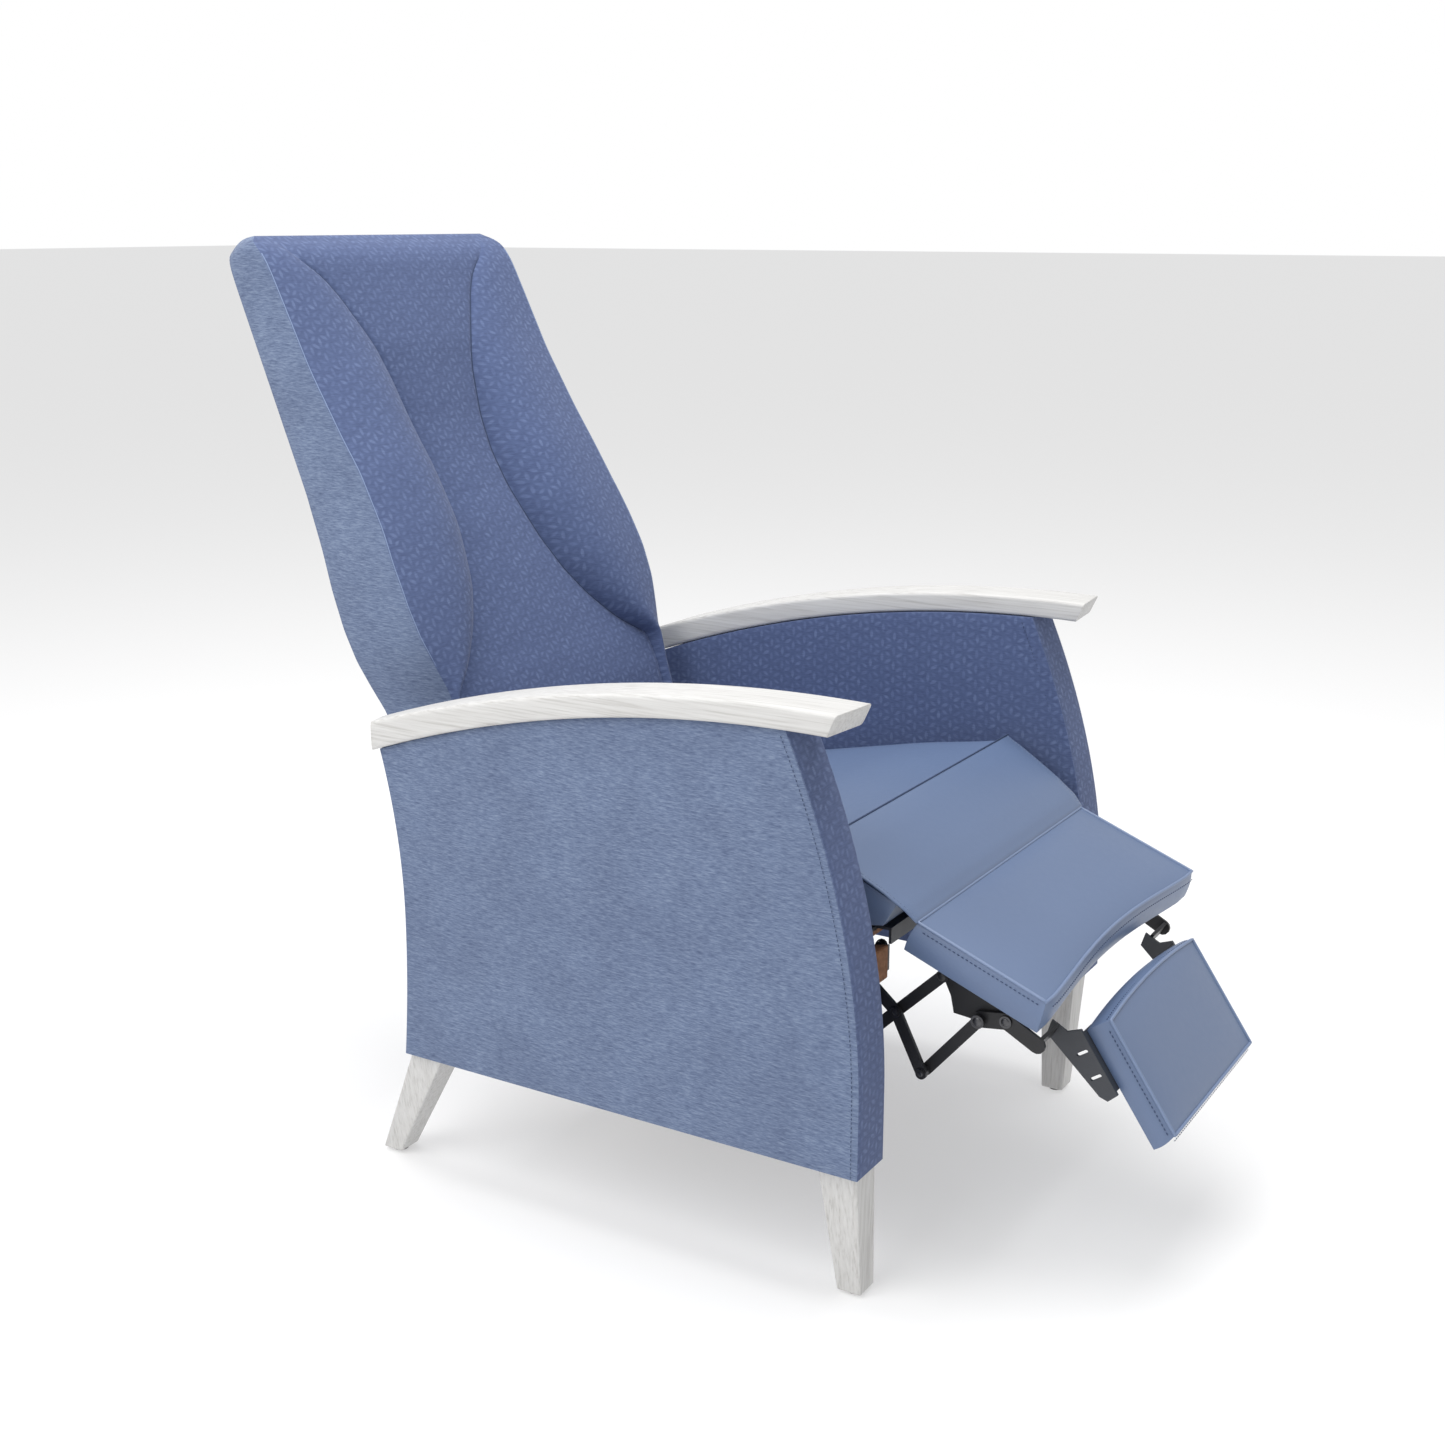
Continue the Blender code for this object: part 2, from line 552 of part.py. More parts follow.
def make_seat_cushion(seat):
    nose_y, seam_y = -0.323, SEAT_SEAM[0]
    cushion = slab("seat_cushion", seat_cushion_outline(), SIDE, -SEAT_HALF_REAR, SEAT_HALF_REAR)
    half = [(SEAT_HALF_REAR, SEAT_REAR_Y + 0.01), (SEAT_HALF_REAR, -0.12), (SEAT_HALF_SEAM, seam_y),
            (SEAT_HALF_NOSE, nose_y - 0.01)]
    plan = half + [(-x, y) for x, y in half[::-1]]
    cushion = combine(cushion, slab("plan", plan, PLAN, 0.2, 0.6), "INTERSECT")
    keep(round_edges(cushion, 0.002, 1), "vinyl", seat)


# ---- back ------------------------------------------------------------------------------------------------


def back_shape(name, low_q, half_trim, low_s=BACK_LOW):
    """The back's volume in front of low_q: its side view crossed with its front view."""
    front = [(s, q) for s, q in BACK_FRONT if s >= low_s]
    side_view = [back_point(s, q) for s, q in front]
    side_view += [back_point(BACK_HIGH, 0.030), back_point(BACK_HIGH - 0.004, low_q), back_point(low_s, low_q)]
    made = slab(name, side_view, SIDE, -0.3, 0.3)
    half = [(width - half_trim, s) for s, width in BACK_SIDE]
    outline = half + [(-x, s) for x, s in half[::-1]]
    return combine(made, slab("front_view", outline, BACK_PLAN, -0.1, 0.2), "INTERSECT")


def make_back():
    back = body("back", BACK_HINGE)
    cushion = back_shape("back_cushion", 0.004, 0.0)
    pocket_half, pocket_high = BACK_POCKET_HALF, BACK_POCKET_HIGH
    pocket = [(-pocket_half, BACK_LOW - 0.05), (pocket_half, BACK_LOW - 0.05),
              (pocket_half, pocket_high), (-pocket_half, pocket_high)]
    cushion = combine(cushion, slab("pocket", pocket, BACK_PLAN, -0.05, BACK_POCKET_DEPTH), "DIFFERENCE")
    keep(cushion, "pattern_fabric", back)
    half = [(width - 0.004, s) for s, width in BACK_SIDE]
    panel = slab("back_panel", half + [(-x, s) for x, s in half[::-1]], BACK_PLAN, BACK_PANEL_REAR, BACK_PANEL_FRONT)
    keep(round_edges(panel, 0.004, 2, angle=60), "heather_fabric", back)
    width, low, high = BACK_BOARD_HALF, BACK_BOARD_LOW, BACK_BOARD_HIGH
    board = [(-width, low), (width, low), (width, high), (-width, high)]
    keep(slab("back_board", board, BACK_PLAN, *BACK_BOARD_LANE), "plywood", back)
    for word, side in SIDES:
        points = [BACK_HINGE, *(back_point(*spot) for spot in STRAP_LINE)]
        strap = slab("back_strap_" + word, strip(points, STRAP_HALF), SIDE, *lane(side, STRAP_LANE),
                     holes=[circle(BACK_HINGE, HOLE_RADIUS)])
        keep(strap, "black_steel", back)
        bolt = rod("back_pivot_bolt_" + word, BACK_HINGE, STUD_RADIUS, *lane(side, BOLT_LANE))
        head = rod("head", BACK_HINGE, BOLT_HEAD_RADIUS, *lane(side, BOLT_HEAD_LANE), count=6)
        keep(combine(bolt, head, "UNION"), "grey_steel", back)


# ---- leg rest and foot pad -------------------------------------------------------------------------------


def leg_front_edge(x):
    """How far the leg rest reaches from its seam: a shallow hollow between two straight corners."""
    share = min(1.0, abs(x) / LEG_SCOOP_HALF)
    return LEG_LENGTH + 0.0015 - LEG_SCOOP * (0.5 + 0.5 * math.cos(math.pi * share)) ** 0.6


def leg_outline(margin):
    half = LEG_HALF - margin
    edge = [(x, leg_front_edge(x) - margin) for x in spread(half, -half, 25)]
    return [(-half, LEG_REAR + margin), (half, LEG_REAR + margin)] + edge


def pad_outline(margin):
    half = PAD_HALF - margin
    edge = [(x, margin - PAD_CROWN * (1 - (x / PAD_HALF) ** 2)) for x in spread(-half, half, 13)]
    return edge + [(half, PAD_LENGTH - margin), (-half, PAD_LENGTH - margin)]


def make_padded_board(stem, outline, frame, thick, parent):
    """A cushion with a board let into its underside."""
    cushion = slab(stem + "_cushion", outline(0.0), frame, 0.0, thick)
    recess = slab("recess", outline(BOARD_MARGIN - GAP), frame, thick - BOARD_THICK - GAP, thick + 0.02)
    keep(combine(cushion, recess, "DIFFERENCE"), "vinyl", parent)
    keep(slab(stem + "_board", outline(BOARD_MARGIN), frame, thick - BOARD_THICK, thick), "plywood", parent)


def make_leg_rest():
    leg_rest = body("leg_rest", LEG_HINGE)
    make_padded_board("leg", leg_outline, LEG_PLAN, LEG_THICK, leg_rest)
    under = LEG_THICK + GAP
    for word, side in SIDES:
        lug = [(SCISSOR_TOP[0] + LUG_RADIUS * math.cos(a), SCISSOR_TOP[1] + LUG_RADIUS * math.sin(a))
               for a in spread(math.radians(110), math.radians(235), 6)][::-1]
        pivot = [(PAD_PIVOT[0] + LUG_RADIUS * math.cos(a), PAD_PIVOT[1] + LUG_RADIUS * math.sin(a))
                 for a in spread(math.radians(270), math.radians(150), 6)]
        outline = [leg_point(along, under + below) for along, below in BRACKET_ROOT]
        outline += [*pivot[::-1], *BRACKET_HOLLOW]
        plate = slab("leg_bracket_" + word, outline, SIDE, *lane(side, BRACKET_LANE))
        for centre, reach in ((SCISSOR_TOP, SCISSOR_LANE[1]), (PAD_PIVOT, LEVER_LANE[1] + OVERLAP)):
            stud = rod("stud", centre, STUD_RADIUS, *lane(side, (BRACKET_LANE[0] + OVERLAP, reach)))
            plate = combine(plate, stud, "UNION")
        start, end = LEG_FLANGE
        flange = [leg_point(start, under), leg_point(end, under), leg_point(end, under + FLANGE_THICK),
                  leg_point(start, under + FLANGE_THICK)]
        tab = slab("flange", flange, SIDE,
                   *lane(side, (BRACKET_LANE[0] - FLANGE_WIDTH, BRACKET_LANE[0] + OVERLAP)))
        keep(combine(plate, tab, "UNION"), "black_steel", leg_rest)


def make_foot_pad():
    foot_pad = body("foot_pad", PAD_PIVOT)
    make_padded_board("foot", pad_outline, PAD_PLAN, PAD_THICK, foot_pad)
    behind = PAD_THICK + GAP
    for word, side in SIDES:
        arm = slab("foot_lever_" + word, strip([PAD_LINK_TOP, PAD_PIVOT, KNUCKLE], LUG_RADIUS), SIDE,
                   *lane(side, LEVER_LANE), holes=[circle(PAD_PIVOT, HOLE_RADIUS)])
        stud = rod("stud", PAD_LINK_TOP, STUD_RADIUS,
                   *lane(side, (LEVER_LANE[0] + OVERLAP, PAD_LINK_LANE[1] + RIVET_BACK)))
        arm = combine(arm, stud, "UNION")
        along = (Vector(KNUCKLE) - Vector(PAD_PIVOT)).normalized() * BAR_THICK / 2
        upward = Vector((-along.y, along.x)).normalized() * LUG_RADIUS * 0.94
        bar = [Vector(KNUCKLE) + a * along + b * upward for a, b in ((-1, -1), (1, -1), (1, 1), (-1, 1))]
        cross = slab("cross", bar, SIDE, *lane(side, (SLOT_PLATE_LANE[1] + GAP, LEVER_LANE[0] + OVERLAP)))
        keep(combine(arm, cross, "UNION"), "black_steel", foot_pad)
        outline = [*SLOT_PLATE_NECK, *(pad_point(along, behind + below) for along, below in SLOT_PLATE_EDGE)]
        slots = [strip([pad_point(place, behind + reach) for reach in SLOT_SPAN], SLOT_RADIUS, 4)
                 for place in SLOT_PLACES]
        plate = slab("slot_plate_" + word, outline, SIDE, *lane(side, SLOT_PLATE_LANE), holes=slots)
        start, end = PAD_FLANGE
        flange = [pad_point(start, behind), pad_point(end, behind), pad_point(end, behind + FLANGE_THICK),
                  pad_point(start, behind + FLANGE_THICK)]
        tab = slab("flange", flange, SIDE,
                   *lane(side, (SLOT_PLATE_LANE[0] - PAD_FLANGE_WIDTH, SLOT_PLATE_LANE[0] + OVERLAP)))
        keep(combine(plate, tab, "UNION"), "grey_steel", foot_pad)


# ---- scissor linkage -------------------------------------------------------------------------------------


def make_link(name, side, points, link_lane, parent, hole=None, heads=()):
    """A flat link with a hole at the joint that it turns on and raised rivet heads where it crosses the others.
    Each head is (centre, radius, low, high), with its span given across the chair."""
    holes = [circle(hole, HOLE_RADIUS)] if hole else []
    link = slab(name, strip(points, LINK_HALF), SIDE, *lane(side, link_lane), holes=holes)
    for centre, radius, low, high in heads:
        link = combine(link, rod("head", centre, radius, *lane(side, (low, high)), count=14), "UNION")
    keep(link, "black_steel", parent)


def make_links():
    lift = body("lift_links", LIFT_PIVOT)
    scissor = body("scissor_links", SCISSOR_TOP)
    pad = body("pad_links", PAD_LINK_TOP)
    for word, side in SIDES:
        low, high = LIFT_LANE
        outer_heads = [(centre, RIVET_RADIUS, high - OVERLAP, high + RIVET_HEIGHT)
                       for centre in (SCISSOR_CROSS, LIFT_END)]
        spacer = (LIFT_END, RIVET_RADIUS, PAD_LINK_LANE[1] + GAP, low + OVERLAP)
        make_link("lift_link_" + word, side, [LIFT_PIVOT, LIFT_ELBOW, SCISSOR_CROSS, LIFT_END], LIFT_LANE, lift,
                  hole=LIFT_PIVOT, heads=[*outer_heads, spacer])
        low = SCISSOR_LANE[0]
        make_link("scissor_link_" + word, side, [SCISSOR_TOP, SCISSOR_CROSS, SCISSOR_TAIL], SCISSOR_LANE, scissor,
                  hole=SCISSOR_TOP, heads=[(SCISSOR_CROSS, RIVET_RADIUS, low - RIVET_BACK, low + OVERLAP)])
        low = PAD_LINK_LANE[0]
        make_link("pad_link_" + word, side, [PAD_LINK_TOP, LIFT_END], PAD_LINK_LANE, pad,
                  hole=PAD_LINK_TOP, heads=[(LIFT_END, RIVET_RADIUS, low - RIVET_BACK, low + OVERLAP)])


make_base()
make_seat()
make_back()
make_leg_rest()
make_foot_pad()
make_links()
for axis in PARTS.objects:
    if axis.type == "EMPTY":
        axis.location.y -= MIDDLE_Y
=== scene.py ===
# %% [markdown]
# # A patient recliner, piece by piece
# The chair stands on four tapered wooden legs. Two upholstered arm panels carry curved wooden caps, and
# between them a seat glides, a back reclines and a two-part leg rest unfolds on black steel links. The
# rigid frame comes in ready made, and these cells add what an upholsterer and a finisher would: padded
# covers, seams, stitches, rivets, grain.

import json
import math

import bmesh
import bpy
import numpy as np
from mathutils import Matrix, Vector


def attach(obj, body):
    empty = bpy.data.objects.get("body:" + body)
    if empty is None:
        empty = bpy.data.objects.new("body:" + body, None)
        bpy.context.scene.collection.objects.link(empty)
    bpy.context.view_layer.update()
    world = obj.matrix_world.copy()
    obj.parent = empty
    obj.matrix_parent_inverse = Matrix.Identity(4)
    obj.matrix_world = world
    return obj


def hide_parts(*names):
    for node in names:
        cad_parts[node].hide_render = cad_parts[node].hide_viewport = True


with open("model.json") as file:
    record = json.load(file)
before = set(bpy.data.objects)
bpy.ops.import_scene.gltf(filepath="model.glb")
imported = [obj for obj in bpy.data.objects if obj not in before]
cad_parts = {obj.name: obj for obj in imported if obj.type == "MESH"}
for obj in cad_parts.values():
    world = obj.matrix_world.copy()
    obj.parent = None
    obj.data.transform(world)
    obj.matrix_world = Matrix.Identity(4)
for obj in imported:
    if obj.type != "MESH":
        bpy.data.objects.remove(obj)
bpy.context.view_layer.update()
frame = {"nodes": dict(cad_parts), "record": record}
nodes = frame["nodes"]

# %% [markdown]
# ## The side views
# Most of this chair is drawn from the side. Its outlines are kept as (y, z) in the upholsterer's own
# measure, which starts at the front of the arm caps' arc, so `place` moves a point into the frame,
# whose origin is the middle of the chair. The numbers that set the chair's shape are all here, to be
# found and changed in one place.

# %% Dimensions of the chair
MIDDLE_Y = 0.0119  # the frame's origin in the side views' y

ARM_OUTER, ARM_INNER, ARM_FLOOR = 0.347, 0.287, 0.162
CAP_OUTER, CAP_INNER = 0.355, 0.289
CAP_APEX_Y, CAP_TOP_Z, CAP_TOP_R, CAP_UNDER_Z, CAP_UNDER_R = -0.24, 0.655, 1.675, 0.631, 1.51
CAP_FRONT_TOP_Y, CAP_FRONT_UNDER_Y, CAP_REAR_Y = -0.294, -0.283, 0.300
REAR_SLANT = 0.040  # how much further back an arm's rear end reaches on its inner side
SIDES = (("right", -1), ("left", 1))


def place(x, y, z):
    """A point of the side views, moved into the frame."""
    return Vector((x, y - MIDDLE_Y, z))


def arm_front(z):
    return -0.319 + 0.588 * max(0.0, z - 0.24) ** 2


def arm_rear(z):
    return 0.272 + (0.68 if z > 0.335 else 0.30) * (z - 0.335) ** 2


def cap_under(y):
    return CAP_UNDER_Z - (y - CAP_APEX_Y) ** 2 / (2 * CAP_UNDER_R)


def cap_top(y):
    return CAP_TOP_Z - (y - CAP_APEX_Y) ** 2 / (2 * CAP_TOP_R)


print("arm panel:", round((arm_rear(0.3) - arm_front(0.3)) * 1000), "mm deep at its waist")

# %% [markdown]
# ## Small tools
# Nearly every cover is the same kind of thing: two curved faces over one outline, closed by a border
# between them. `cushion_mesh` makes it from two functions of (u, v), which keeps every seam on a row or a
# column of the grid. Faces are then sorted into finishes by which of the three parts they belong to.

# %% Mesh helpers


def new_object(name, mesh):
    made = bpy.data.objects.new(name, mesh)
    bpy.context.scene.collection.objects.link(made)
    return made


def smooth(piece, angle=40):
    piece.data.shade_smooth()
    piece.data.set_sharp_from_angle(angle=math.radians(angle))
    return piece


def evaluated_mesh(piece):
    """The mesh that a piece's modifiers, or its curve's settings, come to."""
    bpy.context.view_layer.update()
    graph = bpy.context.evaluated_depsgraph_get()
    return bpy.data.meshes.new_from_object(piece.evaluated_get(graph))


def applied(piece):
    """Turns a piece's modifiers into plain geometry."""
    mesh = evaluated_mesh(piece)
    piece.modifiers.clear()
    piece.data = mesh
    return piece


def meshed(host):
    """Puts a plain mesh object in the place of a host object, under the same name."""
    mesh, name = evaluated_mesh(host), host.name
    bpy.data.objects.remove(host, do_unlink=True)
    return new_object(name, mesh)


def cushion_mesh(name, face, back, us, vs, finishes, border_steps=3, border_swell=0.0):
    """A closed cover: face(u, v) and back(u, v) over the same grid, with a border between their edges.
    The three finishes are those of the face, the border and the back."""
    across, along = len(us), len(vs)
    edge = [(i, 0) for i in range(across)] + [(across - 1, j) for j in range(1, along)]
    edge += [(i, along - 1) for i in range(across - 2, -1, -1)] + [(0, j) for j in range(along - 2, 0, -1)]
    sheet = bmesh.new()
    tops = {(i, j): sheet.verts.new(face(u, v)) for i, u in enumerate(us) for j, v in enumerate(vs)}
    backs = {(i, j): sheet.verts.new(back(u, v)) for i, u in enumerate(us) for j, v in enumerate(vs)}
    middle = sum((tops[key].co for key in edge), Vector()) / len(edge)
    rings = [[tops[key] for key in edge]]
    for step in range(1, border_steps):
        share = step / border_steps
        ring = []
        for key in edge:
            a, b = tops[key].co, backs[key].co
            out = (a + b) / 2 - middle
            out -= (b - a).normalized() * out.dot((b - a).normalized())
            swell = out.normalized() * border_swell * math.sin(math.pi * share)
            ring.append(sheet.verts.new(a.lerp(b, share) + swell))
        rings.append(ring)
    rings.append([backs[key] for key in edge])
    for grid, finish_index in ((tops, 0), (backs, 2)):
        for i in range(across - 1):
            for j in range(along - 1):
                quad = sheet.faces.new((grid[i, j], grid[i + 1, j], grid[i + 1, j + 1], grid[i, j + 1]))
                quad.material_index = finish_index
    for above, below in zip(rings, rings[1:]):
        for k in range(len(edge)):
            m = (k + 1) % len(edge)
            sheet.faces.new((above[k], above[m], below[m], below[k])).material_index = 1
    bmesh.ops.recalc_face_normals(sheet, faces=sheet.faces)
    mesh = bpy.data.meshes.new(name)
    for finish in finishes:
        mesh.materials.append(finish)
    sheet.to_mesh(mesh)
    sheet.free()
    return new_object(name, mesh)


def soften(piece, width, segments=3, angle=50):
    """Rounds a piece's sharp edges, and shades the rest smooth."""
    bevel = piece.modifiers.new("Soft edge", "BEVEL")
    bevel.width, bevel.segments, bevel.limit_method = width, segments, "ANGLE"
    bevel.angle_limit = math.radians(angle)
    return smooth(applied(piece), 50)


def spread(low, high, count):
    """Evenly spaced values from low to high."""
    return [low + (high - low) * k / (count - 1) for k in range(count)]


def crowded(low, high, count):
    """Values from low to high that crowd together at both ends, where a cushion bends most."""
    middle, half = (low + high) / 2, (high - low) / 2
    return [middle - half * math.cos(math.pi * k / (count - 1)) for k in range(count)]


def between(ends, share):
    """(y, z) at a share of the way from one end to the other."""
    (y0, z0), (y1, z1) = ends
    return y0 + (y1 - y0) * share, z0 + (z1 - z0) * share


def dress(piece, *finishes):
    """Gives a piece its materials, in the order of its polygons' indices."""
    piece.data.materials.clear()
    for made in finishes:
        piece.data.materials.append(made)
    return piece


def at(table, where):
    """Linear interpolation in a table of (position, value) pairs."""
    places, values = zip(*table)
    return float(np.interp(where, places, values))


def ease(low, high, x):
    """Rises smoothly from 0 to 1 as x goes from low to high."""
    share = min(1.0, max(0.0, (x - low) / (high - low)))
    return share * share * (3 - 2 * share)


print("tools ready")

# %% [markdown]
# ## Finishes
# A material here is a short chain: coordinates, a pattern, a colour ramp, and a bump made from the same
# pattern, so that light and colour agree. All patterns read Object coordinates in metres, so a thread is
# the same size on every piece. `Nodes` only shortens the calls that add and join nodes.

# %% Shader helper


class Nodes:
    """A material's tree, with one short call for each node that is added."""

    def __init__(self, name):
        self.material = bpy.data.materials.new(name)
        self.material.use_nodes = True
        self.tree = self.material.node_tree
        self.shader = self.tree.nodes["Principled BSDF"]
        self.object = self.add("ShaderNodeTexCoord").outputs["Object"]

    def add(self, kind, inputs=None, **settings):
        made = self.tree.nodes.new(kind)
        for key, value in settings.items():
            setattr(made, key, value)
        for key, value in (inputs or {}).items():
            if isinstance(value, bpy.types.NodeSocket):
                self.tree.links.new(value, made.inputs[key])
            else:
                made.inputs[key].default_value = value
        return made

    def math(self, operation, a, b=0.0, c=0.0, clamp=False):
        made = self.add("ShaderNodeMath", {0: a, 1: b, 2: c}, operation=operation)
        made.use_clamp = clamp
        return made.outputs[0]

    def stretched(self, scale, shift=(0, 0, 0)):
        return self.add("ShaderNodeMapping", {"Vector": self.object, "Scale": scale,
                                              "Location": shift}).outputs[0]

    def noise(self, vector, scale, detail=2.0, roughness=0.5, distortion=0.0):
        made = self.add("ShaderNodeTexNoise", {"Vector": vector, "Scale": scale, "Detail": detail,
                                               "Roughness": roughness, "Distortion": distortion})
        return made.outputs["Fac"]

    def ramp(self, factor, *stops):
        made = self.add("ShaderNodeValToRGB", {"Fac": factor})
        line = made.color_ramp.elements
        while len(line) < len(stops):
            line.new(0.5)
        for element, (where, colour) in zip(line, stops):
            element.position = where
            element.color = (*colour, 1)
        return made.outputs["Color"]

    def mix(self, factor, a, b, blend="MIX"):
        made = self.add("ShaderNodeMix", data_type="RGBA", blend_type=blend)
        for key, value in ((0, factor), (6, a), (7, b)):
            if isinstance(value, bpy.types.NodeSocket):
                self.tree.links.new(value, made.inputs[key])
            else:
                made.inputs[key].default_value = (*value, 1) if key else value
        return made.outputs[2]

    def finish(self, colour, roughness, bump=None, depth=0.0003, metallic=0.0, specular=0.5):
        for key, value in (("Base Color", colour), ("Roughness", roughness)):
            if isinstance(value, bpy.types.NodeSocket):
                self.tree.links.new(value, self.shader.inputs[key])
            else:
                self.shader.inputs[key].default_value = (*value, 1) if key == "Base Color" else value
        self.shader.inputs["Metallic"].default_value = metallic
        self.shader.inputs["Specular IOR Level"].default_value = specular
        if bump is not None:
            made = self.add("ShaderNodeBump", {"Height": bump, "Distance": depth, "Strength": 1.0})
            self.tree.links.new(made.outputs[0], self.shader.inputs["Normal"])
        return self.material


print("shader helper ready")

# %% [markdown]
# ## Heathered cloth for the outside
# The outside of the arms and the back's border are a plain woven cloth in which light and dark yarns
# alternate at random, which reads as short horizontal flecks. Two noises stretched along the weft give
# the flecks, a larger one the cloudy change of tone, and two finer ones the crossing of warp and weft.

# %% Cloth materials
HEATHER = ((0.076, 0.104, 0.188), (0.130, 0.171, 0.272), (0.196, 0.248, 0.356))  # dark, middle and light
JACQUARD = ((0.074, 0.103, 0.208), (0.091, 0.125, 0.242), (0.122, 0.164, 0.294))
LEAF_PITCH = 0.0195  # between one leaf and the next of the same direction
LEAF_SHARPNESS = (7.0, 7.0, 6.2)  # the third family of leaves is woven thinner
LEAF_EDGE, LEAF_CORE = 4.4, 7.2  # heights of the sum of waves at a leaf's outline and in its middle


def yarn(made):
    """Height of the yarns: fine, uneven and crossed, without the even beat that would shimmer from afar."""
    weft = made.noise(made.stretched((300, 300, 1500), shift=(5, 2, 0)), 1.0, 1.0)
    warp = made.noise(made.stretched((1300, 1300, 260), shift=(0, 4, 6)), 1.0, 1.0)
    return made.math("ADD", weft, warp)


def flecks(made):
    """Short dashes along the weft, wide in x and y and thin in z."""
    fine = made.noise(made.stretched((130, 130, 900)), 1.0, 2.0, 0.6)
    coarse = made.noise(made.stretched((60, 60, 420), shift=(3, 1, 7)), 1.0, 1.0)
    return made.math("ADD", made.math("MULTIPLY", fine, 0.65), made.math("MULTIPLY", coarse, 0.35))


def heather_cloth():
    made = Nodes("heathered_cloth")
    dash = flecks(made)
    colour = made.ramp(dash, (0.30, HEATHER[0]), (0.50, HEATHER[1]), (0.70, HEATHER[2]))
    drift = made.noise(made.object, 14.0, 3.0)
    cloud = made.ramp(drift, (0.35, (0.93, 0.93, 0.94)), (0.65, (1.05, 1.05, 1.04)))
    height = made.math("ADD", made.math("MULTIPLY", yarn(made), 0.35), dash)
    made.shader.inputs["Sheen Weight"].default_value = 0.15
    made.shader.inputs["Sheen Roughness"].default_value = 0.5
    return made.finish(made.mix(1.0, colour, cloud, "MULTIPLY"), 0.92, height, 0.00018, specular=0.2)


def jacquard_cloth(name, across, up):
    """Leaf-shaped strokes on the sides of triangles, tone on tone. across and up are the cloth's own
    threads. Three cosine waves 60 degrees apart have their crests on the triangles' sides: one wave high and
    the other two low marks the middle of a side, and that is where a stroke is woven."""
    made = Nodes(name)
    crests = []
    wave = 2 * math.pi / (LEAF_PITCH * math.sqrt(3) / 2)
    for degrees in (30, 90, 150):
        turn = math.radians(degrees)
        direction = Vector(across) * math.sin(turn) + Vector(up) * math.cos(turn)
        run = made.add("ShaderNodeVectorMath", {0: made.object, 1: direction * wave},
                       operation="DOT_PRODUCT")
        crests.append(made.math("COSINE", run.outputs["Value"]))
    others = made.math("ADD", made.math("ADD", crests[0], crests[1]), crests[2])
    strokes = [made.math("MULTIPLY_ADD", crest, sharp, made.math("MULTIPLY", others, -1.0))
               for crest, sharp in zip(crests, LEAF_SHARPNESS)]
    woven = made.math("MAXIMUM", made.math("MAXIMUM", strokes[0], strokes[1]), strokes[2])
    leaf = made.add("ShaderNodeMapRange", {"Value": woven, "From Min": LEAF_EDGE, "From Max": LEAF_CORE},
                    interpolation_type="SMOOTHSTEP").outputs["Result"]
    wear = made.math("MULTIPLY_ADD", made.noise(made.object, 55.0, 2.0), 1.5, -0.15, clamp=True)
    figure = made.math("MULTIPLY", leaf, wear)
    tone = made.ramp(figure, (0.0, JACQUARD[0]), (0.45, JACQUARD[1]), (1.0, JACQUARD[2]))
    dash = flecks(made)
    shade = made.ramp(dash, (0.32, (0.80, 0.80, 0.84)), (0.68, (1.16, 1.16, 1.13)))
    height = made.math("ADD", made.math("MULTIPLY", yarn(made), 0.3),
                       made.math("ADD", made.math("MULTIPLY", figure, 0.6), dash))
    made.shader.inputs["Sheen Weight"].default_value = 0.12
    made.shader.inputs["Sheen Roughness"].default_value = 0.45
    return made.finish(made.mix(1.0, tone, shade, "MULTIPLY"), 0.88, height, 0.0002, specular=0.25)


BACK_LEAN = math.radians(21.5)
BACK_UP = (0, math.sin(BACK_LEAN), math.cos(BACK_LEAN))
heather = heather_cloth()
side_jacquard = jacquard_cloth("jacquard_cloth_arms", (0, 1, 0), (0, 0, 1))
front_jacquard = jacquard_cloth("jacquard_cloth_arm_fronts", (1, 0, 0), (0, 0, 1))
back_jacquard = jacquard_cloth("jacquard_cloth_back", (1, 0, 0), BACK_UP)
print("cloths:", ", ".join(m.name for m in (heather, side_jacquard, front_jacquard, back_jacquard)))

# %% [markdown]
# ## Coated upholstery, pale wood, steel and plastic
# The seat and the rests are covered in a smooth coated fabric: an even colour with a leather-like grain
# far too fine to see as a pattern, only as a softened highlight. The wood is limed: a white wash that
# leaves a little grey in the open pores along the grain. Steel gets the faint orange peel of a powder
# coat.

# %% Hard and coated materials
VINYL = (0.107, 0.155, 0.268)
LIMED = ((0.43, 0.42, 0.405), (0.555, 0.55, 0.54), (0.61, 0.605, 0.595))  # open pore, wash and bare lime
PORE_SCALE, PORE_SCALE_ALONG = 380.0, 9.0  # across the grain and along it


def coated_cloth():
    made = Nodes("coated_cloth")
    pebble = made.add("ShaderNodeTexVoronoi", {"Vector": made.object, "Scale": 850.0}, feature="F1")
    drift = made.noise(made.object, 5.0, 3.0)
    colour = made.mix(drift, tuple(c * 0.94 for c in VINYL), tuple(c * 1.06 for c in VINYL))
    rough = made.math("MULTIPLY_ADD", made.noise(made.object, 120.0), 0.10, 0.38)
    return made.finish(colour, rough, made.math("MULTIPLY", pebble.outputs["Distance"], 0.5), 0.00012,
                       specular=0.7)


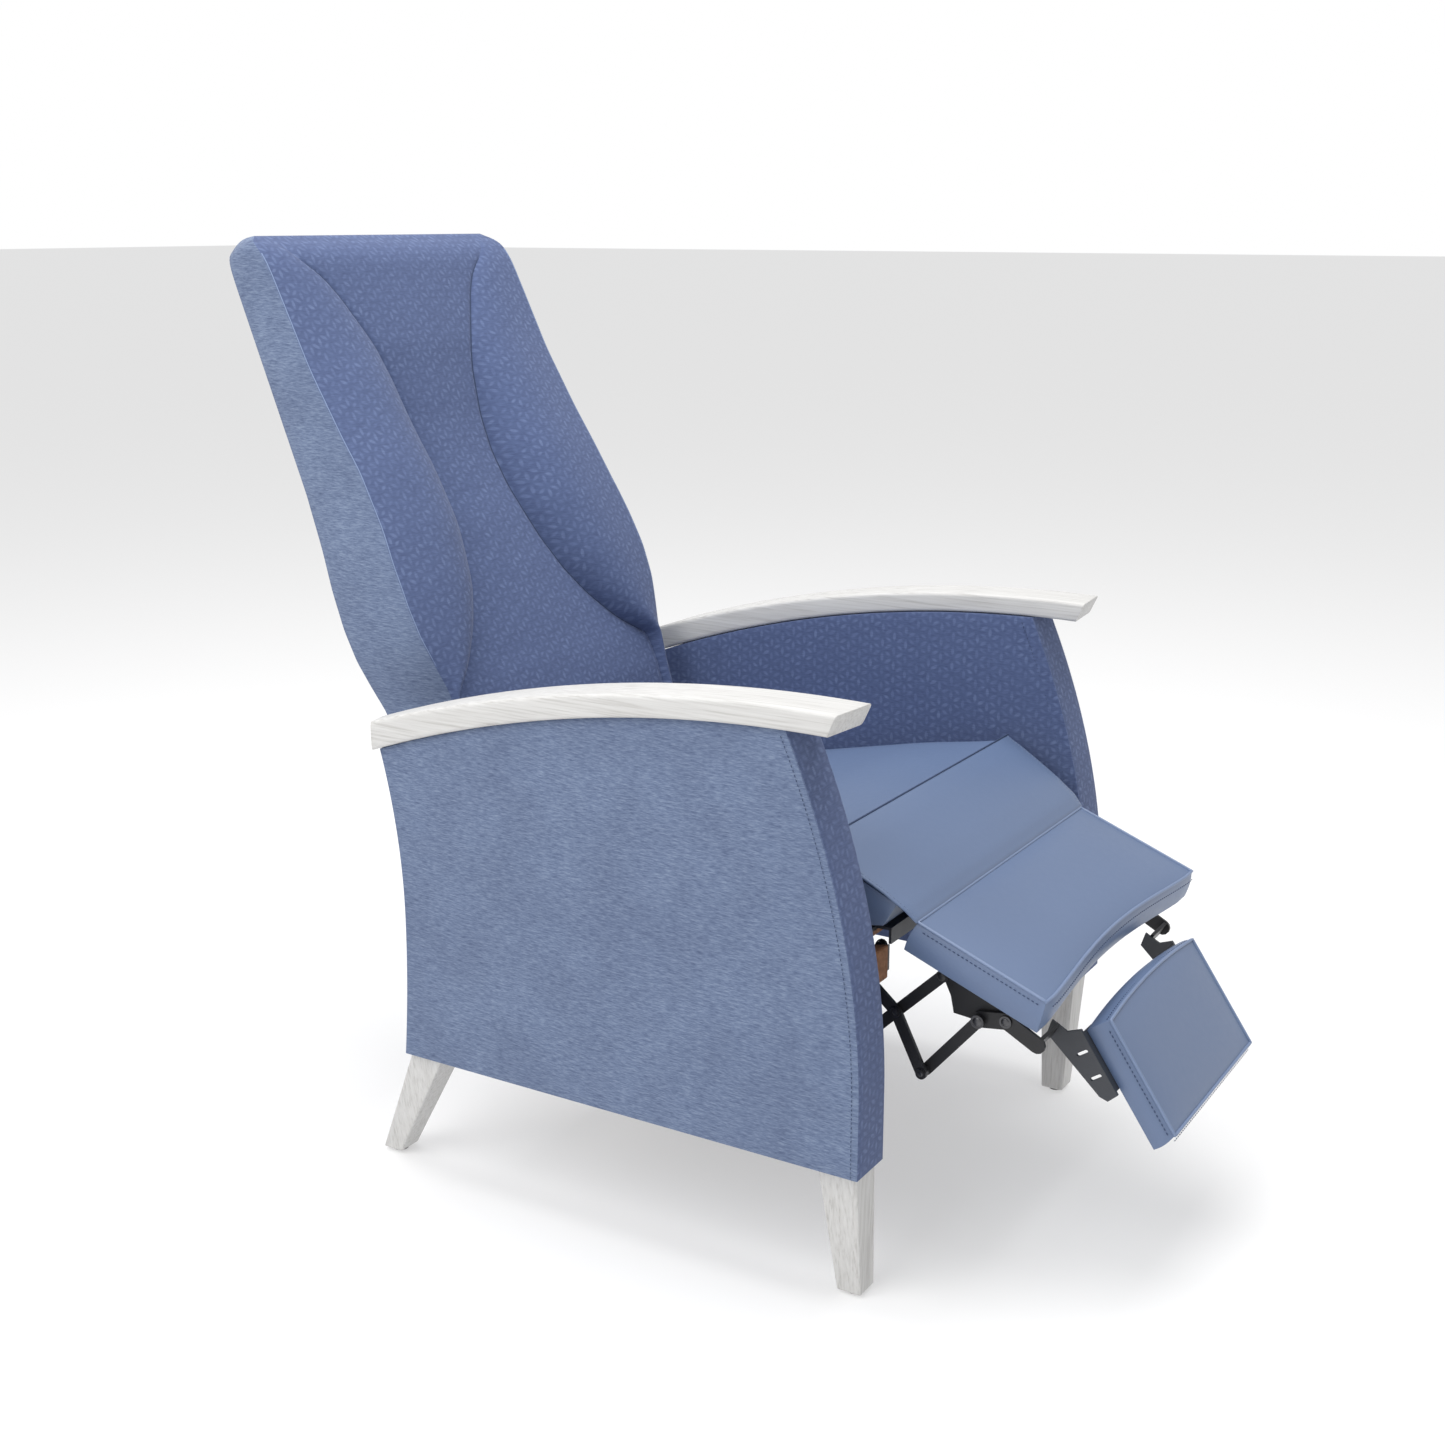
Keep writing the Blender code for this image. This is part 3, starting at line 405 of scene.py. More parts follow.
def limed_wood(name, along):
    """Grain runs along the axis given as 0, 1 or 2."""
    made = Nodes(name)
    scale = [PORE_SCALE] * 3
    scale[along] = PORE_SCALE_ALONG
    pores = made.noise(made.stretched(scale), 1.0, 5.0, 0.6)
    figure = made.noise(made.stretched([s * 0.3 for s in scale]), 1.0, 2.0, 0.5, 0.1)
    wash = made.ramp(pores, (0.30, LIMED[0]), (0.48, LIMED[1]), (0.70, LIMED[2]))
    cloud = made.ramp(figure, (0.35, (0.965, 0.962, 0.958)), (0.62, (1.015, 1.015, 1.015)))
    return made.finish(made.mix(1.0, wash, cloud, "MULTIPLY"), 0.55, pores, 0.0003, specular=0.3)


def raw_wood(name, dark, light):
    made = Nodes(name)
    rings = made.noise(made.stretched((160, 7, 160)), 1.0, 4.0, 0.6)
    return made.finish(made.ramp(rings, (0.3, dark), (0.7, light)), 0.72, rings, 0.0003, specular=0.3)


def coated_steel(name, colour):
    made = Nodes(name)
    peel = made.noise(made.object, 700.0, 2.0)
    rough = made.math("MULTIPLY_ADD", made.noise(made.object, 60.0, 3.0), 0.16, 0.34)
    tint = made.mix(made.noise(made.object, 25.0), colour, tuple(c * 1.5 for c in colour))
    return made.finish(tint, rough, peel, 0.00008)


def zinc_steel():
    made = Nodes("bright_rivet_steel")
    rough = made.math("MULTIPLY_ADD", made.noise(made.object, 400.0), 0.2, 0.26)
    return made.finish((0.10, 0.10, 0.105), rough, made.noise(made.object, 900.0), 0.00005, metallic=1.0)


def moulded_plastic():
    made = Nodes("moulded_plastic")
    spark = made.noise(made.object, 900.0, 2.0)
    tint = made.mix(spark, (0.035, 0.035, 0.037), (0.055, 0.055, 0.058))
    return made.finish(tint, 0.6, spark, 0.00015)


def webbing_cloth():
    made = Nodes("seat_webbing")
    band = made.add("ShaderNodeTexWave", {"Vector": made.object, "Scale": 9.0}, bands_direction="X")
    tint = made.ramp(band.outputs["Fac"], (0.1, (0.012, 0.012, 0.014)), (0.5, (0.045, 0.045, 0.05)))
    return made.finish(tint, 0.9, yarn(made), 0.0004)


vinyl = coated_cloth()
wood_along = limed_wood("limed_wood_caps", 1)
wood_upright = limed_wood("limed_wood_legs", 2)
beech = raw_wood("raw_beech", (0.16, 0.072, 0.035), (0.27, 0.13, 0.065))
plywood = raw_wood("raw_plywood", (0.30, 0.20, 0.11), (0.46, 0.33, 0.20))
black_steel = coated_steel("black_coated_steel", (0.0095, 0.0095, 0.011))
grey_steel = coated_steel("grey_coated_steel", (0.030, 0.033, 0.040))
rivet_steel = zinc_steel()
plastic = moulded_plastic()
webbing = webbing_cloth()
print("finishes:", len([m for m in bpy.data.materials if m.use_nodes]))

# %% [markdown]
# ## Frame pieces that keep their shape
# Legs, glides, tracks, rails and links are right as they come. Each keeps its mesh and gets the finish
# that the record names for it.

# %% Finish the frame's own pieces
FINISH_OF_SLOT = {"whitewashed_wood": wood_upright, "beech": beech, "plywood": plywood, "webbing": webbing,
                  "black_steel": black_steel, "grey_steel": grey_steel, "nylon": plastic, "vinyl": vinyl,
                  "heather_fabric": heather, "pattern_fabric": back_jacquard}
for part in frame["record"]["subparts"]:
    node = nodes[part["node"]]
    finish = FINISH_OF_SLOT[part["material_slot"]]
    for slot in node.material_slots:
        slot.material = finish

# %% [markdown]
# ## Seams and stitches
# A seam shows as a fine cord where two panels meet, with a row of stitches beside it. The cord is a curve
# with a round section. The stitches are a Geometry Nodes tree: it spaces points along a curve, turns a
# short capsule to follow it at each, and joins them into one mesh. Everything that repeats on this chair
# is made this way.

# %% Trees that repeat small things along a path


def tree_with_inputs(name, *inputs):
    tree = bpy.data.node_groups.new(name, "GeometryNodeTree")
    tree.interface.new_socket("Geometry", in_out="INPUT", socket_type="NodeSocketGeometry")
    for label, kind, value in inputs:
        made = tree.interface.new_socket(label, in_out="INPUT", socket_type=kind)
        if value is not None:
            made.default_value = value
    tree.interface.new_socket("Geometry", in_out="OUTPUT", socket_type="NodeSocketGeometry")
    start, end = tree.nodes.new("NodeGroupInput"), tree.nodes.new("NodeGroupOutput")
    return tree, start, end


def chain(tree, *pairs):
    for source, target in pairs:
        tree.links.new(source, target)


def stitch_tree():
    """Short capsules, lying along a curve at an even spacing."""
    tree, start, end = tree_with_inputs(
        "Stitches along a curve", ("Spacing", "NodeSocketFloat", 0.004),
        ("Length", "NodeSocketFloat", 0.003), ("Radius", "NodeSocketFloat", 0.0004),
        ("Material", "NodeSocketMaterial", None))
    add = tree.nodes.new
    points, place_on = add("GeometryNodeCurveToPoints"), add("GeometryNodeInstanceOnPoints")
    points.mode = "LENGTH"
    capsule, squeeze = add("GeometryNodeMeshIcoSphere"), add("ShaderNodeCombineXYZ")
    half = add("ShaderNodeMath")
    half.operation = "MULTIPLY"
    half.inputs[1].default_value = 0.5
    shape, realize, paint = (
        add("GeometryNode" + kind) for kind in ("Transform", "RealizeInstances", "SetMaterial"))
    capsule.inputs["Radius"].default_value = 1.0
    capsule.inputs["Subdivisions"].default_value = 1
    chain(tree,
          (start.outputs["Geometry"], points.inputs["Curve"]),
          (start.outputs["Spacing"], points.inputs["Length"]),
          (start.outputs["Radius"], squeeze.inputs["X"]), (start.outputs["Radius"], squeeze.inputs["Y"]),
          (start.outputs["Length"], half.inputs[0]), (half.outputs[0], squeeze.inputs["Z"]),
          (capsule.outputs["Mesh"], shape.inputs["Geometry"]), (squeeze.outputs[0], shape.inputs["Scale"]),
          (points.outputs["Points"], place_on.inputs["Points"]),
          (shape.outputs[0], place_on.inputs["Instance"]),
          (points.outputs["Rotation"], place_on.inputs["Rotation"]),
          (place_on.outputs[0], realize.inputs[0]), (realize.outputs[0], paint.inputs["Geometry"]),
          (start.outputs["Material"], paint.inputs["Material"]), (paint.outputs[0], end.inputs[0]))
    return tree


def run_tree(host, tree, **inputs):
    """Runs a tree on a host object and leaves a plain mesh in its place."""
    modifier = host.modifiers.new(tree.name, "NODES")
    modifier.node_group = tree
    names = {item.name: item.identifier for item in tree.interface.items_tree if item.in_out == "INPUT"}
    for label, value in inputs.items():
        modifier[names[label]] = value
    return meshed(host)


def path_curve(name, paths, closed=False, radius=0.0):
    """A curve object along one or more paths, round in section if it has a radius."""
    curve = bpy.data.curves.new(name, "CURVE")
    curve.dimensions = "3D"
    curve.bevel_depth = radius
    curve.bevel_resolution = 2
    curve.use_fill_caps = True
    for path in paths:
        spline = curve.splines.new("POLY")
        spline.points.add(len(path) - 1)
        for point, spot in zip(spline.points, path):
            point.co = (*spot, 1)
        spline.use_cyclic_u = closed
    return new_object(name, curve)


def seam_cord(name, paths, radius, finish, body, closed=False):
    """The thin cord that a sewn seam shows, along one or more paths."""
    made = dress(meshed(path_curve(name, paths, closed, radius)), finish)
    sheet = bmesh.new()
    sheet.from_mesh(made.data)
    bmesh.ops.remove_doubles(sheet, verts=sheet.verts, dist=0.00001)
    bmesh.ops.recalc_face_normals(sheet, faces=sheet.faces)
    sheet.to_mesh(made.data)
    sheet.free()
    smooth(made, 60)
    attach(made, body)
    return made


STITCHES = stitch_tree()


def stitch_row(name, paths, finish, body, spacing=0.0042, length=0.0030, radius=0.00042):
    """Rows of stitches beside a seam, one for each path."""
    made = run_tree(path_curve(name, paths), STITCHES, Spacing=spacing, Length=length, Radius=radius,
                    Material=finish)
    made.data.shade_smooth()
    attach(made, body)
    return made


thread = Nodes("sewing_thread").finish((0.20, 0.25, 0.37), 0.7, specular=0.3)
cloth_thread = Nodes("cloth_thread").finish((0.20, 0.26, 0.40), 0.8, specular=0.2)
dark_thread = Nodes("dark_thread").finish((0.045, 0.065, 0.125), 0.8, specular=0.2)
# The piping cord is coloured paler than the coated cloth it is cut from: that paleness is a painted
# highlight along the rests' seams, on top of the cord's real gloss.
piping_with_painted_highlight = Nodes("piping_with_painted_highlight").finish((0.16, 0.215, 0.345), 0.42, specular=0.6)
print("stitch tree:", len(STITCHES.nodes), "nodes")

# %% [markdown]
# ## Arm panels
# Each arm is a padded panel whose front sweeps back as it rises and whose top follows the cap. One face
# is a grid between its front and rear edges, so the cloth can swell a little in the middle and pull in at
# the seams. The outer face is heathered cloth, and the border and the inner face are the jacquard.

# %% Cover the arms
ARM_SWELL = 0.0035
CAP_GAP = 0.0008  # between a panel's top and the cap
SEAM_TOP = 0.622  # where the front seams go under the cap


def arm_point(u, v, slant):
    """(y, z) of a spot on the arm: u from front to rear, v from the floor edge to the cap."""
    y, z = 0.0, ARM_FLOOR
    for _ in range(6):
        z = ARM_FLOOR + (cap_under(y) - CAP_GAP - ARM_FLOOR) * v
        y = arm_front(z) + (arm_rear(z) + slant - arm_front(z)) * u
    return y, z


def cover_arm(word, side):
    """One arm's cover, which swells in the middle and is pinched at its edges."""
    def layer(x, swell, slant):
        def spot(u, v):
            y, z = arm_point(u, v, slant)
            crown = min(1.0, 9 * u * (1 - u)) * min(1.0, 7 * v) * min(1.0, (1 - v) / 0.14)
            return place(side * (x + swell * crown), y, z)
        return spot

    outer_face = layer(ARM_OUTER - 0.001, 0.001, 0.0)
    inner_face = layer(ARM_INNER, -ARM_SWELL, REAR_SLANT)
    cover = cushion_mesh("arm_upholstery_" + word, outer_face, inner_face, crowded(0, 1, 37),
                         spread(0, 1, 33), (heather, front_jacquard, side_jacquard), 4)
    soften(cover, 0.004)
    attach(cover, "base")
    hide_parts("arm_cover_" + word, "arm_frame_" + word)


for word, side in SIDES:
    cover_arm(word, side)
    heights = spread(ARM_FLOOR + 0.004, SEAM_TOP, 40)
    outer = [place(side * (ARM_OUTER - 0.0022), arm_front(z) + 0.0012, z) for z in heights]
    inner = [place(side * (ARM_INNER + 0.0012), arm_front(z) + 0.0018, z) for z in heights]
    seam_cord("arm_seam_" + word, [outer, inner], 0.0012, cloth_thread, "base")
    stitched = [place(side * (ARM_OUTER + 0.0002), arm_front(z) + 0.0075, z) for z in heights]
    facing = [place(side * (ARM_INNER - 0.0006), arm_front(z) + 0.0165, z) for z in heights]
    stitch_row("arm_stitches_" + word, [stitched, facing], dark_thread, "base", 0.005, 0.0036)

# %% [markdown]
# ## Arm caps
# A cap is one board, sawn to a long curve and cut off at a slant in front, with all its edges eased by
# hand. It is lofted here: a rectangle with rounded corners is set out at many stations along the curve,
# and the ends are closed.

# %% Saw the arm caps
CAP_EASE = 0.0045
CAP_THICK = CAP_TOP_Z - CAP_UNDER_Z
CAP_FRONT_SLANT = 0.006  # how much further forward a cap's front reaches on its inner side
CAP_SETBACK = 0.003


def rounded_section(low_x, high_x, low_z, high_z, radius, steps=4):
    """The spots round a rectangle whose corners are arcs."""
    spots = []
    for cx, cz, start in ((high_x - radius, high_z - radius, 0), (low_x + radius, high_z - radius, 90),
                          (low_x + radius, low_z + radius, 180), (high_x - radius, low_z + radius, 270)):
        for k in range(steps + 1):
            turn = math.radians(start + 90 * k / steps)
            spots.append((cx + radius * math.cos(turn), cz + radius * math.sin(turn)))
    return spots


def saw_cap(word, side):
    """One cap, lofted from front to rear."""
    body_mesh = bmesh.new()
    section = rounded_section(CAP_INNER, CAP_OUTER, 0.0, CAP_THICK, CAP_EASE)
    rings = []
    for share in spread(0, 1, 56):
        top_y = CAP_FRONT_TOP_Y + (CAP_REAR_Y - CAP_FRONT_TOP_Y) * share
        under_y = CAP_FRONT_UNDER_Y + (CAP_REAR_Y - CAP_FRONT_UNDER_Y) * share
        slant = REAR_SLANT * ease(0.75, 1.0, share) - CAP_FRONT_SLANT * max(0.0, 1 - share * 8)
        spots = []
        for x, height in section:
            t = height / CAP_THICK
            inner_share = (CAP_OUTER - x) / (CAP_OUTER - CAP_INNER)
            y = under_y + (top_y - under_y) * t + inner_share * slant + CAP_SETBACK
            spots.append(place(side * x, y, cap_under(y) + (cap_top(y) - cap_under(y)) * t))
        rings.append([body_mesh.verts.new(spot) for spot in spots])
    for before, after in zip(rings, rings[1:]):
        for k in range(len(before)):
            m = (k + 1) % len(before)
            body_mesh.faces.new((before[k], before[m], after[m], after[k]))
    body_mesh.faces.new(rings[0])
    body_mesh.faces.new(rings[-1][::-1])
    bmesh.ops.recalc_face_normals(body_mesh, faces=body_mesh.faces)
    mesh = bpy.data.meshes.new("arm_cap")
    body_mesh.to_mesh(mesh)
    body_mesh.free()
    cap = dress(new_object("wooden_cap_" + word, mesh), wood_along)
    soften(cap, 0.0025, angle=60)
    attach(cap, "base")
    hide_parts("arm_cap_" + word)


for word, side in SIDES:
    saw_cap(word, side)
print("caps:", round((CAP_REAR_Y - CAP_FRONT_TOP_Y) * 1000), "mm long")

# %% [markdown]
# ## The back
# The back is the piece everyone sees. Two proud bolsters run up its sides and fall away to a sunken panel
# in the middle, along a seam shaped like an hourglass. The columns of its grid are laid on the seam, so
# the fold stays crisp however the shape is changed. Heights run up the rear face (s) and depths forward
# from it (q).

# %% Shape the back
BACK_FOOT = (0.393, 0.536)
BACK_LOW, BACK_HIGH = -0.160, 0.5885
BACK_FRONT = ((-0.160, 0.0905), (-0.090, 0.099), (-0.006, 0.107), (0.060, 0.109), (0.123, 0.1085),
              (0.198, 0.103), (0.276, 0.0927), (0.323, 0.083), (0.412, 0.069), (0.500, 0.0626),
              (0.545, 0.0590), (0.570, 0.0520), (0.582, 0.0430), (0.5885, 0.0310))
BACK_SIDE = ((-0.160, 0.224), (0.000, 0.226), (0.035, 0.237), (0.070, 0.2465), (0.110, 0.250),
             (0.160, 0.2475), (0.210, 0.241), (0.280, 0.236), (0.540, 0.235), (0.565, 0.2340),
             (0.578, 0.2300), (0.585, 0.2225), (0.5885, 0.2100))
SEAM = ((-0.02, 0.232), (0.026, 0.165), (0.069, 0.125), (0.113, 0.097), (0.158, 0.081), (0.199, 0.071),
        (0.237, 0.067), (0.283, 0.0665), (0.340, 0.0725), (0.396, 0.082), (0.435, 0.094), (0.500, 0.126),
        (0.529, 0.146), (0.560, 0.185), (0.5885, 0.200))
SEAM_DEPTH = ((-0.05, 0.004), (0.000, 0.012), (0.026, 0.017), (0.069, 0.023), (0.113, 0.028),
              (0.158, 0.032), (0.199, 0.034), (0.237, 0.037), (0.283, 0.037), (0.340, 0.029),
              (0.396, 0.017), (0.435, 0.009), (0.529, 0.003), (0.560, 0.0))


SMOOTHING = 9  # samples over which a table's corners are rounded


def smoothed(table, count=160):
    """A table of (position, value), resampled finely with its corners rounded."""
    places, values = (np.array(part, float) for part in zip(*table))
    fine = np.linspace(places[0], places[-1], count)
    kernel = np.hanning(SMOOTHING + 2)[1:-1]
    padded = np.pad(np.interp(fine, places, values), SMOOTHING // 2, mode="edge")
    return list(zip(fine, np.convolve(padded, kernel / kernel.sum(), mode="valid")))


back_front, seam_line, seam_depth = (smoothed(table) for table in (BACK_FRONT, SEAM, SEAM_DEPTH))
back_side = smoothed(BACK_SIDE, 300)


def back_point(x, s, q):
    """A spot of the back: x across, s up its rear face, q forwards from it."""
    y = BACK_FOOT[0] + math.sin(BACK_LEAN) * s - math.cos(BACK_LEAN) * q
    z = BACK_FOOT[1] + math.cos(BACK_LEAN) * s + math.sin(BACK_LEAN) * q
    return place(x, y, z)


SEAM_AT = 0.42  # share of the columns that lie inside the hourglass
ROLL_POWER, ROLL_CROWN = 5.0, 0.009
BOLSTER_LEAST = 0.014  # a bolster is never narrower than this
FADE = 0.05  # height at the top over which the relief dies out


def back_columns(s):
    """Across one half of the back at height s: the seam and the edge."""
    edge = at(back_side, s)
    return min(at(seam_line, s), edge - BOLSTER_LEAST), edge


def top_fade(s):
    return ease(BACK_HIGH, BACK_HIGH - FADE, s)


def back_half(u, s):
    """x and extra depth of the front at u from 0, the middle, to 1, the edge. A bolster is a roll: it rises
    steeply from the seam, rounds over, and comes down gently to the edge."""
    seam, edge = back_columns(s)
    sunk = at(seam_depth, s)
    inside = u <= SEAM_AT
    share = u / SEAM_AT if inside else (u - SEAM_AT) / (1 - SEAM_AT)
    if inside:
        x = seam * (1 - (1 - share) ** 1.6)
        extra = -sunk + 0.004 * (1 - (x / seam) ** 2)
    else:
        x = seam + (edge - seam) * share ** 1.5
        t = (x - seam) / (edge - seam)
        roll = ROLL_CROWN * min(1.0, 0.25 + sunk / 0.02) * math.sin(math.pi * t ** 0.75)
        extra = -sunk * (1 - t) ** ROLL_POWER + roll
    groove = 0.0020 * math.exp(-((x - seam) / 0.003) ** 2) * min(1.0, sunk / 0.004 + 0.25)
    return x, extra - groove


def back_face(u, v):
    s = BACK_LOW + (BACK_HIGH - BACK_LOW) * v
    x, extra = back_half(abs(u), s)
    return back_point(math.copysign(x, u), s, at(back_front, s) + extra * top_fade(s))


def back_rear(u, v):
    s = BACK_LOW + (BACK_HIGH - BACK_LOW) * v
    x, _ = back_half(abs(u), s)
    swell = 0.004 * (1 - abs(u) ** 6) * min(1.0, 12 * v * (1 - v))
    return back_point(math.copysign(x, u) * 0.992, s, -0.001 - swell)


halves = spread(0, SEAM_AT, 13)[1:] + spread(SEAM_AT, 1.0, 25)[1:]
back_us = [-h for h in reversed(halves)] + [0.0] + halves
back_vs = sorted({round(v, 5) for v in spread(0, 0.93, 94) + spread(0.93, 1.0, 14)})
back_cover = cushion_mesh("back_upholstery", back_face, back_rear, back_us, back_vs,
                          (back_jacquard, heather, heather), 6, 0.003)
soften(back_cover, 0.0045, angle=55)
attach(back_cover, "back")
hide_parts("back_cushion", "back_panel")
print("back:", len(back_cover.data.polygons), "faces")

# %% [markdown]
# The back's seams: the hourglass, which is a dark line at the bottom of a groove, and the welt where the
# front meets the border.

# %% Sew the back's seams


def seam_path(sign, lift):
    """The hourglass on one side, up to where it runs out into the border."""
    spots = []
    for s in spread(0.004, 0.555, 110):
        seam, edge = back_columns(s)
        if at(seam_line, s) > edge - BOLSTER_LEAST:
            continue
        q = at(back_front, s) - at(seam_depth, s) * top_fade(s) + lift
        spots.append(back_point(sign * seam, s, q))
    return spots


def border_path(sign):
    """The front's edge on one side."""
    return [back_point(sign * (at(back_side, s) - 0.0018), s, at(back_front, s) - 0.0008)
            for s in spread(BACK_LOW + 0.01, 0.560, 130)]


hourglass = [seam_path(sign, -0.0019) for sign in (-1, 1)]
seam_cord("back_hourglass_seams", hourglass, 0.0011, dark_thread, "back")
seam_cord("back_border_welts", [border_path(-1), border_path(1)], 0.0013, cloth_thread, "back")
print("back seams sewn")

# %% [markdown]
# ## The seat
# The seat cushion is long, low and crowned, with a soft roll at each side. Its front falls in a thin flap
# of the same coated cloth, which bridges to the leg rest, and the cushion's short nose shows under the
# flap. The flap is a separate thin sheet, because its free side edges are plain to see.

# %% Upholster the seat
SEAT_SEAM = (-0.214, 0.4820)
SEAT_TOP = ((0.225, 0.3888), SEAT_SEAM)
SEAT_UNDER = ((0.225, 0.2762), (-0.238, 0.3745))


def seat_half(y):
    """Half of the seat's width at y."""
    return at(((-0.330, 0.235), (-0.214, 0.260), (-0.12, 0.266), (0.225, 0.267)), y)


def seat_face(u, v):
    y, z = between(SEAT_TOP, v)
    crown = 0.010 * (1 - abs(u) ** 3) * ease(0, 0.2, v) * ease(1.0, 0.72, v)
    roll = -0.016 * max(0.0, (abs(u) - 0.86) / 0.14) ** 2
    return place(u * seat_half(y), y, z + crown + roll)


def seat_under(u, v):
    y, z = between(SEAT_UNDER, v)
    return place(u * (seat_half(y) - 0.001), y, z)


seat_us = crowded(-1, 1, 45)
seat_cover = cushion_mesh("seat_upholstery", seat_face, seat_under, seat_us, spread(0, 1, 50), (vinyl,) * 3,
                          7, 0.004)
soften(seat_cover, 0.006)
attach(seat_cover, "seat")
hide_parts("seat_cushion")

FLAP_LINE = ((-0.2135, 0.4825), (-0.2200, 0.4800), (-0.2400, 0.4705), (-0.2650, 0.4565), (-0.2900, 0.4418),
             (-0.3150, 0.4245), (-0.3264, 0.4125))
FLAP_HALF_REAR, FLAP_HALF_FRONT, FLAP_THICK = 0.2600, 0.2365, 0.0034


def flap_point(u, v, below):
    """A spot of the flap, v of the way along its line."""
    step = v * (len(FLAP_LINE) - 1)
    k = min(int(step), len(FLAP_LINE) - 2)
    y, z = between(FLAP_LINE[k:k + 2], step - k)
    half = FLAP_HALF_REAR + (FLAP_HALF_FRONT - FLAP_HALF_REAR) * v
    sag = 0.0012 * math.sin(math.pi * v) * (1 - u * u)
    return place(u * half, y, z + sag - below)


flap = cushion_mesh("seat_front_flap", lambda u, v: flap_point(u, v, 0.0),
                    lambda u, v: flap_point(u, v, FLAP_THICK), spread(-1, 1, 33), spread(0, 1, 25),
                    (vinyl,) * 3, 2)
soften(flap, 0.0014, 2)
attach(flap, "seat")


NOSE_TOP, NOSE_TOP_HALF = ((-0.236, 0.4660), (-0.302, 0.4260)), 0.2500
NOSE_UNDER, NOSE_UNDER_HALF = ((-0.238, 0.3960), (-0.286, 0.3985)), 0.2480
NOSE_TAPER = 0.0160


def nose_face(u, v):
    return place(u * (NOSE_TOP_HALF - NOSE_TAPER * v), *between(NOSE_TOP, v))


def nose_under(u, v):
    return place(u * (NOSE_UNDER_HALF - NOSE_TAPER * v), *between(NOSE_UNDER, v))


nose = cushion_mesh("seat_nose", nose_face, nose_under, seat_us, spread(0, 1, 12), (vinyl,) * 3, 6, 0.002)
soften(nose, 0.0035)
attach(nose, "seat")

seam = [place(u * FLAP_HALF_REAR, SEAT_SEAM[0] - 0.0006, SEAT_SEAM[1] + 0.0006) for u in spread(-1, 1, 60)]
seam_cord("seat_front_seam", [seam], 0.0010, dark_thread, "seat")
hems = [[flap_point(sign * 0.983, v, -0.0002) for v in spread(0.02, 0.98, 40)] for sign in (-1, 1)]
stitch_row("seat_flap_stitches", hems, thread, "seat", spacing=0.0045)
print("seat:", len(seat_cover.data.polygons), "faces")

# %% [markdown]
# ## Leg rest and foot pad
# Both are boards wrapped in foam and coated cloth: a crowned top, a corded seam round it, a straight
# border, and a row of stitches under the seam. One function upholsters either, given its outline and the
# slope that it lies on.

# %% Upholster the two rests
LEG_SEAM, LEG_FALL = (-0.327, 0.4115), math.radians(21.5)
LEG_REAR, LEG_FRONT, LEG_THICK, LEG_HALF = -0.0024, 0.1620, 0.036, 0.237
LEG_SCOOP, LEG_SCOOP_HALF = 0.0140, 0.21  # depth and half width of the hollow in its front edge
PAD_SEAM, PAD_FALL = (-0.506, 0.307), math.radians(55.8)
PAD_LENGTH, PAD_THICK, PAD_HALF, PAD_CROWN = 0.144, 0.030, 0.140, 0.008
REST_INSET = 0.0045  # how far in the corded seam lies from the outline
CORD_BELOW, CORD_RADIUS = 0.0014, 0.0019
STITCHES_BELOW = 0.0068  # the row of stitches, under the seam on the border


def slope_point(start, fall, x, along, below):
    """A spot on a slope that falls forward from its start: along it, and below it at right angles."""
    y = start[0] - along * math.cos(fall) + below * math.sin(fall)
    z = start[1] - along * math.sin(fall) - below * math.cos(fall)
    return place(x, y, z)


def leg_edges(x):
    """Where the leg rest starts and ends at x, measured from its seam."""
    share = min(1.0, abs(x) / LEG_SCOOP_HALF)
    return LEG_REAR, LEG_FRONT - LEG_SCOOP * (0.5 + 0.5 * math.cos(math.pi * share)) ** 0.6


def pad_edges(x):
    """The same for the foot pad, whose rear edge bows out."""
    return -PAD_CROWN * (1 - (x / PAD_HALF) ** 2), PAD_LENGTH


def upholster_rest(name, start, fall, half, thick, edges, body, replaced, crown):
    """Covers one rest and sews its seam and stitches."""
    def spot(u, v, below, pull):
        x = u * (half - pull)
        near, far = edges(x)
        near, far = near + min(pull, 0.002), far - 1.5 * pull
        return slope_point(start, fall, x, near + (far - near) * v, below)

    def face(u, v):
        dome = (1 - abs(u) ** 4) * (1 - abs(2 * v - 1) ** 4)
        return spot(u, v, 0.0016 - crown * dome, REST_INSET)

    def under(u, v):
        return spot(u, v, thick, 0.001)

    cover = cushion_mesh(name + "_upholstery", face, under, crowded(-1, 1, 53), crowded(0, 1, 31),
                         (vinyl,) * 3, 8, 0.0035)
    soften(cover, 0.0035, 4)
    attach(cover, body)
    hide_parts(*replaced)
    edge = [(u, 1.0) for u in spread(-1, 1, 60)] + [(1.0, v) for v in spread(1, 0, 30)[1:]]
    edge += [(u, 0.0) for u in spread(1, -1, 60)[1:]] + [(-1.0, v) for v in spread(0, 1, 30)[1:-1]]
    cord = [spot(u, v, CORD_BELOW, REST_INSET) for u, v in edge]
    # The cord's pale colour is a painted highlight along the seam.
    seam_cord(name + "_seam", [cord], CORD_RADIUS, piping_with_painted_highlight, body, closed=True)
    sides = [[(u, v) for u in spread(-0.94, 0.94, 60)] for v in (0.0, 1.0)]
    sides += [[(u, v) for v in spread(0.08, 0.92, 30)] for u in (-1.0, 1.0)]
    rows = [[spot(u, v, STITCHES_BELOW, 0.0006) for u, v in side] for side in sides]
    stitch_row(name + "_stitches", rows, dark_thread, body, 0.0052, 0.0036, 0.0007)


upholster_rest("leg_rest", LEG_SEAM, LEG_FALL, LEG_HALF, LEG_THICK, leg_edges, "leg_rest",
               ("leg_cushion", "leg_board"), 0.005)
upholster_rest("foot_pad", PAD_SEAM, PAD_FALL, PAD_HALF, PAD_THICK, pad_edges, "foot_pad",
               ("foot_cushion", "foot_board"), 0.004)
print("rests upholstered")

